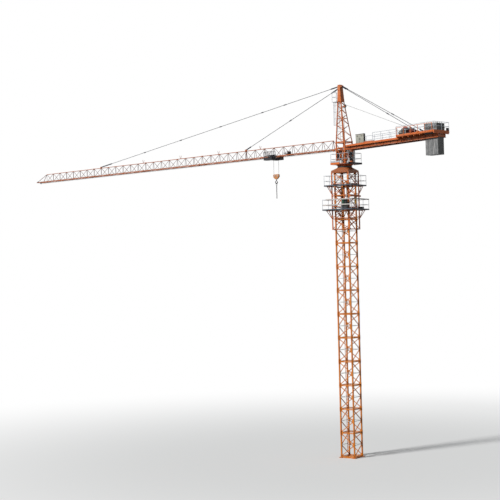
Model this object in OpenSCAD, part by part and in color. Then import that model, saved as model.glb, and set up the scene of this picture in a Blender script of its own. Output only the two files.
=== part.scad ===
// Hammerhead tower crane with a climbing cage, as a 1:2 scale model.
// All sizes are millimetres of the model, so the real crane measures twice as much.
// +Z is up, +X runs along the jib, and the origin is the centre of the base frame's underside.

/* [Mast] */
// Angle between the sides of the mast and the jib, as the crane stands
mast_turn = 10; // [-45:1:45]
// Distance between the chord centres of the mast, each way
mast_w = 790; // [600:10:1000]
// Width of a mast chord, a square box section
mast_chord = 66; // [50:2:90]
// Height of one mast section
section_h = 1250; // [1000:10:1500]
// Width of the horizontals and diagonals of a mast section
mast_brace = 32; // [20:1:44]
// Width of the thin horizontals at half height
mast_thin = 22; // [12:1:30]
// Thickness of the gusset plates of the mast
gusset_t = 8; // [4:1:14]
// Height of the base frame under the first section
base_h = 60; // [50:5:120]
// Side of a foot plate
foot_w = 210; // [150:10:280]
// Distance between the stiles of the ladder
ladder_w = 190; // [150:5:240]
// Spacing of the ladder rungs
rung_step = 150; // [100:5:200]

/* [Climbing cage] */
// Distance between the post centres of the cage, each way
cage_w = 1030; // [980:5:1200]
// Width of a cage post
cage_post = 50; // [30:2:60]
// Height of the cage
cage_h = 3050; // [2600:50:3400]
// Width of the cage's lattice bars
cage_bar = 26; // [16:1:36]
// Outer side of the lower platform
low_platform_w = 1820; // [1500:10:2000]
// Outer side of the upper platform
top_platform_w = 1650; // [1400:10:1900]
// Height of the lower platform above the foot of the cage
low_platform_z = 1020; // [900:10:1300]
// Height of the upper platform above the foot of the cage
top_platform_z = 2290; // [2100:10:2400]
// Height of every railing over its floor
rail_h = 560; // [450:5:600]
// Outer diameter of a railing tube
rail_d = 20; // [14:1:34]
// Thickness of a platform floor
floor_t = 16; // [8:1:24]
// Outer diameter of the climbing cylinder's barrel
cylinder_d = 100; // [80:5:110]

/* [Slewing parts] */
// Side of the lower slewing seat
seat_w = 1060; // [1000:5:1200]
// Height of the lower slewing seat
low_seat_h = 230; // [160:5:300]
// Outer radius of the slewing ring
ring_r = 375; // [320:5:420]
// Height of the slewing ring
ring_h = 80; // [60:2:120]
// Radial gap between the two races of the slewing ring
race_gap = 0.4; // [0.2:0.1:1]
// Height of the upper slewing seat
top_seat_h = 110; // [90:5:160]
// Side of the plate on top of the upper slewing seat
top_seat_w = 1000; // [960:5:1060]
// Length of the platform round the upper slewing seat
platform_l = 1260; // [1200:10:1500]
// Width of the platform round the upper slewing seat
platform_w = 1080; // [1070:5:1300]
// Height of the slewing tower
tower_h = 1160; // [1000:5:1300]
// Distance between the chord centres of the slewing tower and the tower head's foot
tower_w = 590; // [520:5:680]
// Width of a slewing tower chord
tower_chord = 56; // [40:2:70]
// Length of the operator's cabin
cabin_l = 900; // [800:10:1200]
// Width of the operator's cabin
cabin_w = 450; // [420:10:700]
// Height of the operator's cabin
cabin_h = 880; // [820:10:1000]
// Thickness of the cabin walls
cabin_t = 20; // [12:1:30]

/* [Tower head] */
// Height of the tower head over the slewing tower
head_h = 3065; // [2700:5:3400]
// Height of its slim plated top
head_top_h = 900; // [700:10:1200]
// Width of the chords of the tower head
head_chord = 44; // [30:2:60]

/* [Jib] */
// Length of one jib panel
panel_l = 740; // [600:5:800]
// Distance from the slewing axis to the first node of the top chord
jib_start = 740; // [700:5:850]
// Height of the jib truss between chord centres
jib_h = 500; // [420:5:600]
// Distance between the centres of the two bottom chords
jib_w = 500; // [450:5:600]
// Diameter of the top chord
top_chord_d = 40; // [28:1:50]
// Width of a bottom chord
low_chord = 42; // [30:1:50]
// Width of the jib's lattice bars
jib_bar = 20; // [12:1:26]
// Depth of the link plates at the ends of the ties
link_h = 56; // [40:1:60]
// Length of the ties' link plates at the tower head
head_link_l = 520; // [300:10:700]
// Length of the long tie's link plate at the jib
long_link_l = 1100; // [600:10:1300]
// Length of the short tie's link plate at the jib
short_link_l = 420; // [300:10:600]
// Length of the link plates of the counter-jib's ties
rear_link_l = 375; // [250:5:500]

/* [Counter-jib] */
// Length of the counter-jib from the slewing axis
cj_l = 6400; // [6000:50:7500]
// Rise of the counter-jib towards its tail, in degrees
cj_rise = 1.4; // [0:0.1:3]
// Depth of its two main beams
cj_beam_h = 190; // [140:5:240]
// Distance between its main beams
cj_beam_w = 600; // [500:10:700]
// Start of the wide deck, measured from the slewing axis
wide_start = 4000; // [3600:50:4600]
// Width of the wide deck
wide_w = 1250; // [1100:10:1400]
// Height of the wide deck over the main beams
wide_raise = 150; // [120:5:200]
// Height of the counter-jib's railing over its deck
cj_rail_h = 430; // [380:5:560]
// Width of the walkway deck
walk_w = 860; // [760:10:1000]
// Thickness of one counterweight slab
slab_t = 128; // [100:2:160]
// Number of counterweight slabs
slab_n = 6; // [4:1:6]
// Length of the electric cabinet
cabinet_l = 550; // [400:10:700]
// Height of the electric cabinet
cabinet_h = 500; // [400:10:700]

/* [Trolley and hook] */
// Place of the trolley along the jib
trolley_x = 5050; // [3000:50:8000]
// Radius of the trolley wheels
wheel_r = 50; // [40:1:60]
// Distance from the trolley's centre to each rope fall
fall_x = 190; // [170:5:220]
// Diameter of the hoist rope
rope_d = 14; // [8:1:18]
// Pitch radius of every rope sheave
sheave_r = 80; // [70:1:90]
// Height of the free rope between trolley and hook block
fall_h = 960; // [700:10:2000]
// Thickness of the wire of the chain links
link_wire = 16; // [10:1:20]
// Inner length of a chain link
link_in = 62; // [50:1:80]
// Number of chain links that hang from the master ring
link_n = 12; // [6:1:16]

/* [Hidden] */

section_n = 12;
mast_z = base_h + section_n * section_h;
ring_z = mast_z + low_seat_h;
seat_z = ring_z + ring_h;
tower_z = seat_z + top_seat_h;
head_z = tower_z + tower_h;
head_top_z = head_z + head_h;
running_gap = 8;
seam = 0.3;
seat_gap = 0.3;

jib_z = tower_z + 800;
cj_z = jib_z - 100;
cj_deck_z = cj_z + cj_beam_h;
wide_z = cj_deck_z + wide_raise;
panels_each = 7;
jib_sections = 5;
long_node = 27;
short_node = 9;
rest_nodes = [7.45, 12.1, 16.6, 21.3];
node_offset = 16;
root_pin_d = 26;
root_x = (tower_w + tower_chord) / 2 + 6;
root_pin_x = (tower_w + tower_chord) / 2 + 45;
nose_l = 800;
ledge_w = 38;
ledge_t = 8;
bracket_h = 110;
tie_plate = 36;
tie_pin_d = 22;

mast_colour = [0.78, 0.36, 0.10];
crane_colour = [0.75, 0.30, 0.20];
dark = [0.14, 0.15, 0.17];
steel = [0.62, 0.64, 0.66];

function node_x(k) = jib_start + k * panel_l;

// A straight bar of square section between two points
module bar(a, b, w) {
    d = b - a;
    translate(a) rotate([0, acos(d[2] / norm(d)), atan2(d[1], d[0])])
        rotate(45) cylinder(h = norm(d), r = w / sqrt(2), $fn = 4);
}

// A straight round rod between two points, drawn with few sides
module rod(a, b, d, sides = 8) {
    v = b - a;
    translate(a) rotate([0, acos(v[2] / norm(v)), atan2(v[1], v[0])])
        cylinder(h = norm(v), d = d, $fn = sides);
}

// A box given by its centre in plan, its underside and its size
module block(centre, size) {
    translate([centre[0] - size[0] / 2, centre[1] - size[1] / 2, centre[2]]) cube(size);
}

// A straight bar of rectangular section, w wide and h deep, between two points
module flat_bar(a, b, w, h) {
    d = b - a;
    translate(a) rotate([0, acos(d[2] / norm(d)), atan2(d[1], d[0])])
        block([0, 0, 0], [h, w, norm(d)]);
}

// Turns the mast and what stands on it against the jib
module turned() { rotate(mast_turn) children(); }

// Draws its children on each of the four sides of a square tower
module four_sides() {
    for (turn = [0:90:270]) rotate(turn) children();
}

// Mast

module base_frame() {
    reach = mast_w / 2;
    color(mast_colour) {
        for (x = [-1, 1], y = [-1, 1]) translate([x * reach, y * reach, 0]) {
            block([0, 0, 0], [foot_w, foot_w, 20]);
            block([0, 0, 0], [mast_chord + 24, mast_chord + 24, base_h]);
            for (turn = [0, 90]) rotate(turn) block([0, 0, 10], [foot_w - 20, gusset_t, base_h - 16]);
        }
        four_sides() block([0, reach, 0], [mast_w, 50, base_h - 14]);
        for (turn = [45, -45]) rotate(turn)
            block([0, 0, 0], [mast_w * sqrt(2) - foot_w / 2, 56, base_h - 14]);
        block([0, 0, 0], [180, 180, base_h - 14]);
    }
}

// One K of the lattice on the side facing +Y, its point at half height on the -X chord
module mast_face(low, high) {
    y = mast_w / 2;
    mid = (low + high) / 2;
    level = mast_brace / 2 + 6;
    bar([-y, y, low + level], [y, y, low + level], mast_brace);
    bar([-y, y, high - level], [y, y, high - level], mast_brace);
    bar([-y, y, mid], [y, y, mid], mast_thin);
    for (end = [low + 2 * level, high - 2 * level]) bar([y, y, end], [-y, y, mid], mast_brace);
    translate([-y, y + gusset_t / 2, mid]) rotate([90, 0, 0]) linear_extrude(gusset_t)
        polygon([[0, -150], [mast_chord / 2 + 12, -150], [mast_chord / 2 + 70, -60],
            [mast_chord / 2 + 70, 60], [mast_chord / 2 + 12, 150], [0, 150]]);
    for (end = [low + 10, high - 130])
        block([y - mast_chord / 2 - 30, y, end], [80, gusset_t, 120]);
}

module mast_section(n) {
    low = base_h + (n - 1) * section_h + seam / 2;
    high = low + section_h - seam;
    y = mast_w / 2;
    color(mast_colour) four_sides() {
        block([y, y, low], [mast_chord, mast_chord, high - low]);
        mast_face(low, high);
        for (z = [low, high - 110]) for (out = [0, 1]) mirror([out, -out, 0])
            translate([y - 8, y + mast_chord / 2 + 8, z])
                cylinder(h = 110, d = 46, $fn = 6);
    }
}

module mast_ladder() {
    x = mast_w / 2 - 90;
    y = -mast_w / 2 + 230;
    low = base_h + 200;
    high = mast_z - 60;
    color(mast_colour) {
        for (side = [-1, 1]) block([x, y + side * ladder_w / 2, low], [24, 16, high - low]);
        for (z = [low + 60:rung_step:high - 40])
            rod([x, y - ladder_w / 2, z], [x, y + ladder_w / 2, z], 14, 6);
        for (n = [1:section_n]) {
            z = base_h + (n - 0.5) * section_h;
            for (side = [-1, 1]) bar([x, y + side * ladder_w / 2, z],
                [mast_w / 2 - mast_thin / 2, y + side * ladder_w / 2, z], 14);
        }
    }
}

// Climbing cage

cage_z = mast_z - cage_h;

levels = 5;
function cage_level(i) = cage_z + cage_bar + i * (cage_h - 2 * cage_bar) / levels;

// One side of the cage; the side with the cylinder stays open in the bays of the window
module cage_face(window) {
    y = cage_w / 2;
    for (i = [0:levels]) if (!window || i != 2)
        bar([-y, y, cage_level(i)], [y, y, cage_level(i)], cage_bar);
    for (i = [0:levels - 1]) if (!window || (i != 1 && i != 2)) {
        side = i % 2 == 0 ? 1 : -1;
        bar([-side * y, y, cage_level(i) + cage_bar], [side * y, y, cage_level(i + 1) - cage_bar], cage_bar);
    }
}

module climbing_cage() {
    y = cage_w / 2;
    color(crane_colour) {
        four_sides() block([y, y, cage_z], [cage_post, cage_post, cage_h]);
        for (turn = [0:90:270]) rotate(turn) cage_face(turn == 90);
    }
}

// A square ring of floor round the cage, with its railing and the struts below it
module ring_platform(outer, z, deep) {
    inner = cage_w + cage_post;
    half = outer / 2 - rail_d;
    color(dark) difference() {
        block([0, 0, z], [outer, outer, floor_t]);
        block([0, 0, z - 1], [inner, inner, floor_t + 2]);
    }
    color(steel) four_sides() {
        for (level = [0.5, 1])
            rod([-half, half, z + rail_h * level], [half, half, z + rail_h * level], rail_d);
        for (x = [-half, -half / 3, half / 3])
            rod([x, half, z], [x, half, z + rail_h], rail_d);
        block([0, half + rail_d / 2, z + floor_t], [outer - rail_d, 6, 50]);
    }
    color(crane_colour) four_sides() for (x = [-1, 1]) {
        bar([x * inner / 2 * 0.94, inner / 2 + 16, z - deep],
            [x * inner / 2 * 0.94, outer / 2 - 40, z - 14], cage_bar);
        bar([x * inner / 2 * 0.94, inner / 2, z - 14],
            [x * inner / 2 * 0.94, outer / 2 - 6, z - 14], 28);
    }
}

module lower_platform() { ring_platform(low_platform_w, cage_z + low_platform_z, 420); }

module upper_platform() { ring_platform(top_platform_w, cage_z + top_platform_z, 380); }

// The barrel hangs from a beam on the cage's posts, and the rod's crosshead reaches the mast
module climbing_cylinder() {
    x = -(cage_w + cage_post) / 2 - seat_gap - 42;
    top = cage_level(3) - 100;
    cross_z = cage_z + low_platform_z + 90;
    color([0.80, 0.66, 0.20]) {
        block([x, 0, top], [84, cage_w + cage_post, 80]);
        translate([x, 0, top - 380]) cylinder(h = 380, d = cylinder_d - 16, $fn = 32);
        translate([x, 0, top - 400]) cylinder(h = 30, d = cylinder_d - 6, $fn = 32);
        translate([x, 0, cross_z]) cylinder(h = top - cross_z - 300, d = 44, $fn = 24);
        block([x, 0, cross_z - 30], [70, mast_w, 70]);
        for (side = [-1, 1]) block([(x - mast_w / 2 - mast_chord / 2) / 2 - 1, side * (mast_w / 2 - 50),
            cross_z - 30], [-x - mast_w / 2 - mast_chord / 2 - 2, 40, 70]);
    }
}

module power_pack() {
    z = cage_z + low_platform_z + floor_t + 0.3;
    x = -360;
    y = cage_w / 2 + cage_post / 2 + 180;
    color([0.25, 0.45, 0.32]) block([x, y, z], [330, 190, 230]);
    color(dark) translate([x + 60, y, z + 230]) cylinder(h = 170, d = 130, $fn = 32);
    color(steel) block([x - 90, y, z + 230], [110, 120, 90]);
}

// Slewing parts

module lower_slewing_seat() {
    side_h = low_seat_h * 0.3;
    color(crane_colour) difference() {
        union() {
            block([0, 0, mast_z], [seat_w, seat_w, side_h]);
            hull() {
                block([0, 0, mast_z + side_h - 1], [seat_w, seat_w, 1]);
                translate([0, 0, ring_z - 1 - seat_gap]) rotate(15)
                    cylinder(h = 1, r = ring_r + 24, $fn = 12);
            }
        }
        block([0, 0, mast_z - 1], [ring_r * 1.1, ring_r * 1.1, low_seat_h + 2]);
    }
}

module slewing_ring_fixed() {
    color(dark) difference() {
        translate([0, 0, ring_z]) cylinder(h = ring_h - running_gap, r = ring_r, $fn = 96);
        translate([0, 0, ring_z - 1]) cylinder(h = ring_h + 2, r = ring_r * 0.8 + race_gap, $fn = 96);
    }
}

module slewing_ring_moving() {
    color(steel) difference() {
        translate([0, 0, ring_z + running_gap])
            cylinder(h = ring_h - running_gap, r = ring_r * 0.8, $fn = 96);
        translate([0, 0, ring_z]) cylinder(h = ring_h + 1, r = ring_r * 0.64, $fn = 96);
    }
}

module upper_slewing_seat() {
    foot = tower_w + tower_chord + 40;
    color(crane_colour) difference() {
        union() {
            hull() {
                translate([0, 0, seat_z]) rotate(15) cylinder(h = 1, r = ring_r, $fn = 12);
                block([0, 0, tower_z - 20], [foot, foot, 1]);
            }
            block([0, 0, tower_z - 24], [top_seat_w, top_seat_w, 24]);
        }
        translate([0, 0, seat_z - 1]) cylinder(h = top_seat_h + 2, r = ring_r * 0.55, $fn = 64);
    }
}

platform_x = -100;
toe_h = 190;

// Railing of round tube along a path of corners, from one corner to the next
module railing(points, z, height = rail_h, step = 560) {
    for (i = [0:len(points) - 2]) {
        a = points[i];
        b = points[i + 1];
        count = max(1, round(norm(b - a) / step));
        for (level = [0.5, 1])
            rod([a[0], a[1], z + height * level], [b[0], b[1], z + height * level], rail_d);
        for (j = [0:count]) {
            p = a + (b - a) * j / count;
            rod([p[0], p[1], z], [p[0], p[1], z + height], rail_d);
        }
    }
}

module slewing_platform() {
    x = platform_l / 2 - rail_d;
    y = platform_w / 2 - rail_d;
    inner = top_seat_w + 2 * seam;
    low = tower_z - 26;
    color(dark) difference() {
        block([platform_x, 0, low], [platform_l, platform_w, floor_t]);
        block([0, 0, low - 4], [inner, inner, floor_t + 8]);
    }
    color(crane_colour) block([platform_x + platform_l / 4, platform_w / 2 - 6, low],
        [platform_l / 2, 12, toe_h]);
    color(steel) {
        railing([[platform_x + x, cabin_side + 30], [platform_x + x, y]], low + 6);
        railing([[platform_x - x, y], [platform_x - x, -y]], low + 6);
        railing([[platform_x - x, y], [platform_x + x, y]], low + 6);
        railing([[platform_x - x, -y], [cabin_x - cabin_l / 2 - 60, -y]], low + 6);
    }
}

module slewing_motors() {
    for (side = [-1, 1]) translate([side * (tower_w / 2 + 110), side * 60, tower_z]) {
        color(crane_colour) cylinder(h = 150, d = 170, $fn = 32);
        color([0.30, 0.42, 0.52]) translate([0, 0, 150]) cylinder(h = 260, d = 130, $fn = 32);
        color(dark) translate([0, 0, 410]) cylinder(h = 40, d = 110, $fn = 32);
    }
}

module slewing_tower() {
    h = tower_w / 2;
    low = tower_z + 30;
    mid = jib_z + 50;
    high = head_z - 26;
    lug_x = h + tower_chord / 2;
    color(crane_colour) {
        four_sides() {
            block([h, h, tower_z + seat_gap], [tower_chord, tower_chord, tower_h - 2 * seat_gap]);
            bar([-h, h, low], [h, h, low], 40);
            bar([-h, h, mid], [h, h, mid], 54);
            bar([-h, h, high], [h, h, high], 44);
            bar([-h + 8, h, low + 20], [h - 8, h, mid - 20], 28);
            bar([h - 8, h, low + 20], [-h + 8, h, mid - 20], 28);
        }
        for (s = [-1, 1], side = [-1, 1])
            block([lug_x + 30, s * (jib_w / 2 + side * (low_chord / 2 + 7 + seat_gap)), jib_z - 70],
                [100, 14, 130]);
        block([lug_x - 10, 0, jib_z - 70], [30, jib_w + low_chord + 28, 36]);
        for (s = [-1, 1]) translate([lug_x + 45, s * jib_w / 2 - low_chord / 2 - 20, jib_z])
            rotate([-90, 0, 0]) cylinder(h = low_chord + 40, d = root_pin_d, $fn = 32);
    }
}

// Cabin, on the right-hand side as seen facing along the jib

cabin_x = 400;
cabin_side = -(tower_w / 2 + tower_chord / 2 + 30);
cabin_y = cabin_side - cabin_w / 2;
cabin_z = tower_z + 40 + seat_gap;
window_l = cabin_l / 2 - 120;
window_h = 240;
window_x = cabin_x + cabin_l / 2 - window_l / 2 - 26;
rear_window_x = cabin_x - cabin_l / 2 + window_l / 2 + 60;
window_lows = [cabin_z + 245, cabin_z + 245 + window_h + 24];

module cabin_shell() {
    l = cabin_l;
    color([0.82, 0.83, 0.82]) difference() {
        block([cabin_x, cabin_y, cabin_z], [l, cabin_w, cabin_h]);
        block([cabin_x, cabin_y, cabin_z + cabin_t],
            [l - 2 * cabin_t, cabin_w - 2 * cabin_t, cabin_h - 2 * cabin_t]);
        block([cabin_x + l / 2, cabin_y, cabin_z + 90], [60, cabin_w - 100, cabin_h - 180]);
        for (side = [-1, 1], low = window_lows)
            block([window_x, cabin_y + side * cabin_w / 2, low], [window_l, 60, window_h]);
        block([rear_window_x, cabin_y - cabin_w / 2, window_lows[1]], [window_l, 60, window_h]);
    }
    color(dark) for (x = [-1, 1])
        block([cabin_x - 150 + x * 200, cabin_y, cabin_z - 40], [60, cabin_w, 40]);
}

module cabin_glass() {
    l = cabin_l;
    pane = 6;
    fit = 0.3;
    color([0.15, 0.20, 0.25, 0.6]) {
        block([cabin_x + l / 2 - cabin_t / 2, cabin_y, cabin_z + 90 + fit],
            [pane, cabin_w - 100 - 2 * fit, cabin_h - 180 - 2 * fit]);
        for (side = [-1, 1], low = window_lows)
            block([window_x, cabin_y + side * (cabin_w - cabin_t) / 2, low + fit],
                [window_l - 2 * fit, pane, window_h - 2 * fit]);
        block([rear_window_x, cabin_y - (cabin_w - cabin_t) / 2, window_lows[1] + fit],
            [window_l - 2 * fit, pane, window_h - 2 * fit]);
    }
}

// Tower head: a four-sided pyramid whose front stands almost upright, with a slim plated top

head_neck_z = head_top_z - head_top_h;
head_front = [tower_w / 2, 262, 245];
head_rear = [-tower_w / 2, 52, 125];
head_half = [tower_w / 2, 118, 100];
tie_top = [head_front[2] + 75, 0, head_top_z - 85];
rear_top = [head_rear[2] - 75, 0, head_top_z - 90];
ties_apart = 105;
head_sheave = [-125, 0, head_neck_z - 260];

function head_at(part, t) = part[0] + (part[1] - part[0]) * t;

module tower_head() {
    low = head_z + 20;
    span = head_neck_z - low;
    steps = [0, 0.13, 0.30, 0.42, 0.58, 0.68, 0.82, 0.90, 1];
    function corner(x, y, t) = [head_at(x > 0 ? head_front : head_rear, t), y * head_at(head_half, t),
        low + span * t];
    color(crane_colour) {
        for (x = [-1, 1], y = [-1, 1]) {
            bar(corner(x, y, 0), corner(x, y, 1), head_chord);
            block([x * tower_w / 2, y * tower_w / 2, head_z], [tower_chord, tower_chord, 60]);
        }
        for (i = [0, 4, 8]) for (s = [-1, 1]) {
            bar(corner(-1, s, steps[i]), corner(1, s, steps[i]), 26);
            bar(corner(s, -1, steps[i]), corner(s, 1, steps[i]), 26);
        }
        for (i = [1:8], s = [-1, 1]) {
            even = steps[i % 2 == 0 ? i : i - 1];
            odd = steps[i % 2 == 0 ? i - 1 : i];
            up = [0, 0, i % 2 == 0 ? -1 : 1];
            bar(corner(-s, s, even) + 14 * up, corner(s, s, odd) - 14 * up, 20);
            bar(corner(-s, s, even) + 24 * up, corner(-s, -s, odd) - 24 * up, 20);
        }
        hull() {
            translate([head_rear[1] - 22, -head_half[1] - 22, head_neck_z])
                cube([head_front[1] - head_rear[1] + 44, 2 * head_half[1] + 44, 10]);
            translate([head_rear[2] - 15, -head_half[2] - 12, head_top_z - 10])
                cube([head_front[2] - head_rear[2] + 30, 2 * head_half[2] + 24, 10]);
        }
        for (s = [-1, 1], dz = [0, -ties_apart]) block([tie_top[0] - 20, s * (tie_plate / 2 + 7 + seat_gap),
            tie_top[2] - 40 + dz], [110, 14, 80]);
        block([tie_top[0] - 67, 0, tie_top[2] - ties_apart - 45], [50, 60, ties_apart + 90]);
        for (dz = [0, -ties_apart]) translate([tie_top[0], -30, tie_top[2] + dz]) rotate([-90, 0, 0])
            cylinder(h = 60, d = tie_pin_d, $fn = 32);
        for (s = [-1, 1]) {
            for (side = [-1, 1]) block([rear_top[0] + 30, s * 50 + side * (tie_plate / 2 + 12),
                rear_top[2] - 40], [130, 14, 80]);
            translate([rear_top[0], s * 50 - 34, rear_top[2]]) rotate([-90, 0, 0])
                cylinder(h = 68, d = tie_pin_d, $fn = 32);
            block([head_sheave[0] + 60, s * 33, head_sheave[2] - 24], [160, 10, 48]);
        }
        bar([head_sheave[0] + 130, -150, head_sheave[2]], [head_sheave[0] + 130, 150, head_sheave[2]], 30);
        translate(head_sheave - [0, 38, 0]) rotate([-90, 0, 0]) cylinder(h = 76, d = 30, $fn = 32);
    }
    color(steel) translate(head_sheave) sheave(15 + seat_gap);
}

module head_platform() {
    front = head_front[1] + head_chord / 2;
    z = head_neck_z + 4;
    depth = 330;
    cage_drop = 1220;
    hoop = [[front + 60, 95], [front + 190, 165], [front + depth - 8, 90],
        [front + depth - 8, -90], [front + 190, -165], [front + 60, -95]];
    color(steel) {
        block([front + seat_gap + depth / 2, 0, z], [depth, 420, 12]);
        railing([[front + 20, 198], [front + depth - 12, 198], [front + depth - 12, -198],
            [front + 20, -198]], z, rail_h - 30, 320);
        for (y = [-1, 1]) block([front + 60, y * 95, head_z + 150], [16, 12, z - head_z - 150]);
        for (level = [head_z + 309:rung_step:z - 40])
            rod([front + 60, -95, level], [front + 60, 95, level], 12, 6);
        for (dz = [-cage_drop:350:-100], i = [0:4])
            rod([hoop[i][0], hoop[i][1], z + dz], [hoop[i + 1][0], hoop[i + 1][1], z + dz], 10, 6);
        for (p = [hoop[1], hoop[2], hoop[3], hoop[4]]) block([p[0], p[1], z - cage_drop - 8],
            [14, 14, cage_drop + 8]);
        for (t = [0.15, 0.42, 0.68, 0.9], y = [-1, 1]) {
            level = head_z + 20 + (head_neck_z - head_z - 20) * t;
            bar([head_at(head_front, t) + head_chord / 2 + 12, y * head_at(head_half, t), level],
                [front + 60, y * 95, level + 30], 12);
        }
    }
}

// Jib: one top chord, two bottom chords, zigzag sides and a laced floor

// The bars of one panel, whose two V's stand between nodes k and k + 1 of the top chord
module jib_panel(k) {
    x = node_x(k);
    top = jib_z + jib_h;
    mid = x + panel_l / 2;
    for (s = [-1, 1]) {
        bar([x + node_offset, 0, top], [mid - node_offset, s * jib_w / 2, jib_z], jib_bar);
        bar([mid + node_offset, s * jib_w / 2, jib_z], [x + panel_l - node_offset, 0, top], jib_bar);
    }
}

// Cross bars and zigzag of the jib's floor, through the given stations
module jib_floor(stations) {
    y = jib_w / 2;
    for (x = stations) block([x, 0, jib_z - jib_bar / 2], [jib_bar, 2 * y - low_chord + 4, jib_bar]);
    for (i = [1:len(stations) - 1]) {
        s = i % 2 == 0 ? 1 : -1;
        bar([stations[i - 1] + 26, -s * (y - 12), jib_z - 2], [stations[i] - 26, s * (y - 12), jib_z - 2],
            jib_bar - 4);
    }
}

module jib_section(n) {
    first = (n - 1) * panels_each;
    last = first + panels_each;
    a = node_x(first) + seam / 2;
    b = node_x(last) - seam / 2;
    top = jib_z + jib_h;
    y = jib_w / 2;
    color(crane_colour) {
        for (k = [first:last - 1]) jib_panel(k);
        jib_floor([a + 24, for (k = [first:last - 1]) node_x(k) + panel_l / 2, b - 24]);
        rod([a, 0, top], [b, 0, top], top_chord_d);
        for (s = [-1, 1]) {
            block([(a + b) / 2, s * y, jib_z - low_chord / 2], [b - a, low_chord, low_chord]);
            block([(a + b) / 2, s * (y + low_chord / 2 + ledge_w / 2 - 1), jib_z - low_chord / 2],
                [b - a, ledge_w + 2, ledge_t]);
            if (n == 1) {
                jib_root(a, s * y);
                bar([a + node_offset, 0, top], [root_x + 130, s * y, jib_z], jib_bar + 8);
                block([root_x + 190, s * y, jib_z - low_chord / 2 - bracket_h + 2], [40, 30, bracket_h]);
            }
        }
        if (n == jib_sections) jib_nose(b);
        for (k = rest_nodes) if (k >= first && k < last)
            for (s = [-1, 1]) bar([node_x(k), 0, top], [node_x(k), s * 70, top + 190], 14);
        for (k = [short_node, long_node]) if (k >= first && k < last) tie_lug(node_x(k), top);
        if (short_node >= first && short_node < last) {
            x = node_x(short_node);
            block([x, 0, jib_z + 4], [26, 26, jib_h - 10]);
            block([x, 0, jib_z - 14], [28, 2 * y - low_chord + 4, 28]);
        }
    }
}

// The end of a bottom chord, drilled for the root pin
module jib_root(a, y) {
    difference() {
        block([(a + root_x) / 2, y, jib_z - low_chord / 2], [a - root_x + 2, low_chord, low_chord]);
        translate([root_pin_x, y - low_chord, jib_z]) rotate([-90, 0, 0])
            cylinder(h = 2 * low_chord, d = root_pin_d + 2 * seat_gap, $fn = 32);
    }
}

// Two plates on the top chord that hold the end of a tie, with its pin
module tie_lug(x, top) {
    for (s = [-1, 1]) block([x, s * (tie_plate / 2 + 7 + seat_gap), top - 10], [130, 14, 100]);
    block([x, 0, top - 14], [130, 50, 30]);
    translate([x, -30, top + 60]) rotate([-90, 0, 0]) cylinder(h = 60, d = tie_pin_d, $fn = 32);
}

// The tip of the jib, where the sides slope down to an end cross bar
module jib_nose(b) {
    top = jib_z + jib_h;
    tip = b + nose_l;
    y = jib_w / 2;
    for (s = [-1, 1]) {
        block([b + nose_l / 2, s * y, jib_z - low_chord / 2], [nose_l + low_chord, low_chord, low_chord]);
        block([b + nose_l / 2, s * (y + low_chord / 2 + ledge_w / 2 - 1), jib_z - low_chord / 2],
            [nose_l, ledge_w + 2, ledge_t]);
        bar([b - 2, 0, top - 4], [tip - 30, s * y, jib_z], jib_bar + 4);
    }
    block([tip, 0, jib_z - low_chord / 2], [low_chord, jib_w, low_chord]);
    bar([b + 60, -y + 12, jib_z], [tip - 40, y - 12, jib_z], jib_bar);
}

// Ties, each a round bar in lengths that link plates join

tie_d = 26;

module tie(a, b, couplings, head_link, far_link) {
    u = (b - a) / norm(b - a);
    color(dark) difference() {
        union() {
            rod(a + u * 60, b - u * 60, tie_d, 12);
            for (c = couplings) flat_bar(a + (b - a) * c - u * 90, a + (b - a) * c + u * 90, tie_plate, 44);
            flat_bar(a - u * 22, a + u * head_link, tie_plate, link_h);
            flat_bar(b - u * far_link, b + u * 22, tie_plate, link_h);
        }
        for (end = [a, b]) translate(end - [0, tie_plate, 0]) rotate([-90, 0, 0]) rotate(35)
            cylinder(h = 2 * tie_plate, d = tie_pin_d + 2 * seat_gap, $fn = 32);
    }
}

module jib_tie_long() {
    tie(tie_top, [node_x(long_node), 0, jib_z + jib_h + 60],
        [0.193, 0.280, 0.449, 0.620, 0.786], head_link_l, long_link_l);
}

module jib_tie_short() {
    tie(tie_top - [0, 0, ties_apart], [node_x(short_node), 0, jib_z + jib_h + 60], [0.50],
        head_link_l, short_link_l);
}

slab_step = slab_t + 0.4;
slabs_end = -cj_l + 70;
slabs_start = slabs_end + slab_n * slab_step;
cj_start = -(tower_w + tower_chord) / 2 - seat_gap;
cj_tie = [slabs_start + 410, cj_beam_w / 2, wide_z + 80];

// A point of the level counter-jib, where it stands once the tail is raised
function raised_point(p) = [
    cj_start + (p[0] - cj_start) * cos(cj_rise) + (p[2] - cj_deck_z) * sin(cj_rise), p[1],
    cj_deck_z - (p[0] - cj_start) * sin(cj_rise) + (p[2] - cj_deck_z) * cos(cj_rise)];

// Tilts a piece of the level counter-jib about its root
module raised() {
    translate([cj_start, 0, cj_deck_z]) rotate([0, cj_rise, 0]) translate([-cj_start, 0, -cj_deck_z])
        children();
}

module counter_jib_ties() {
    for (s = [-1, 1]) tie(rear_top + [0, s * 50, 0], raised_point([cj_tie[0], s * cj_tie[1], cj_tie[2]]),
        [0.62], rear_link_l, rear_link_l);
}

// Counter-jib

module i_beam(x0, x1, y, z, h, w, t) {
    translate([x0, y, z]) rotate([90, 0, 90]) linear_extrude(x1 - x0) {
        translate([-w / 2, 0]) square([w, t]);
        translate([-w / 2, h - t]) square([w, t]);
        translate([-t / 2, 0]) square([t, h]);
    }
}

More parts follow.
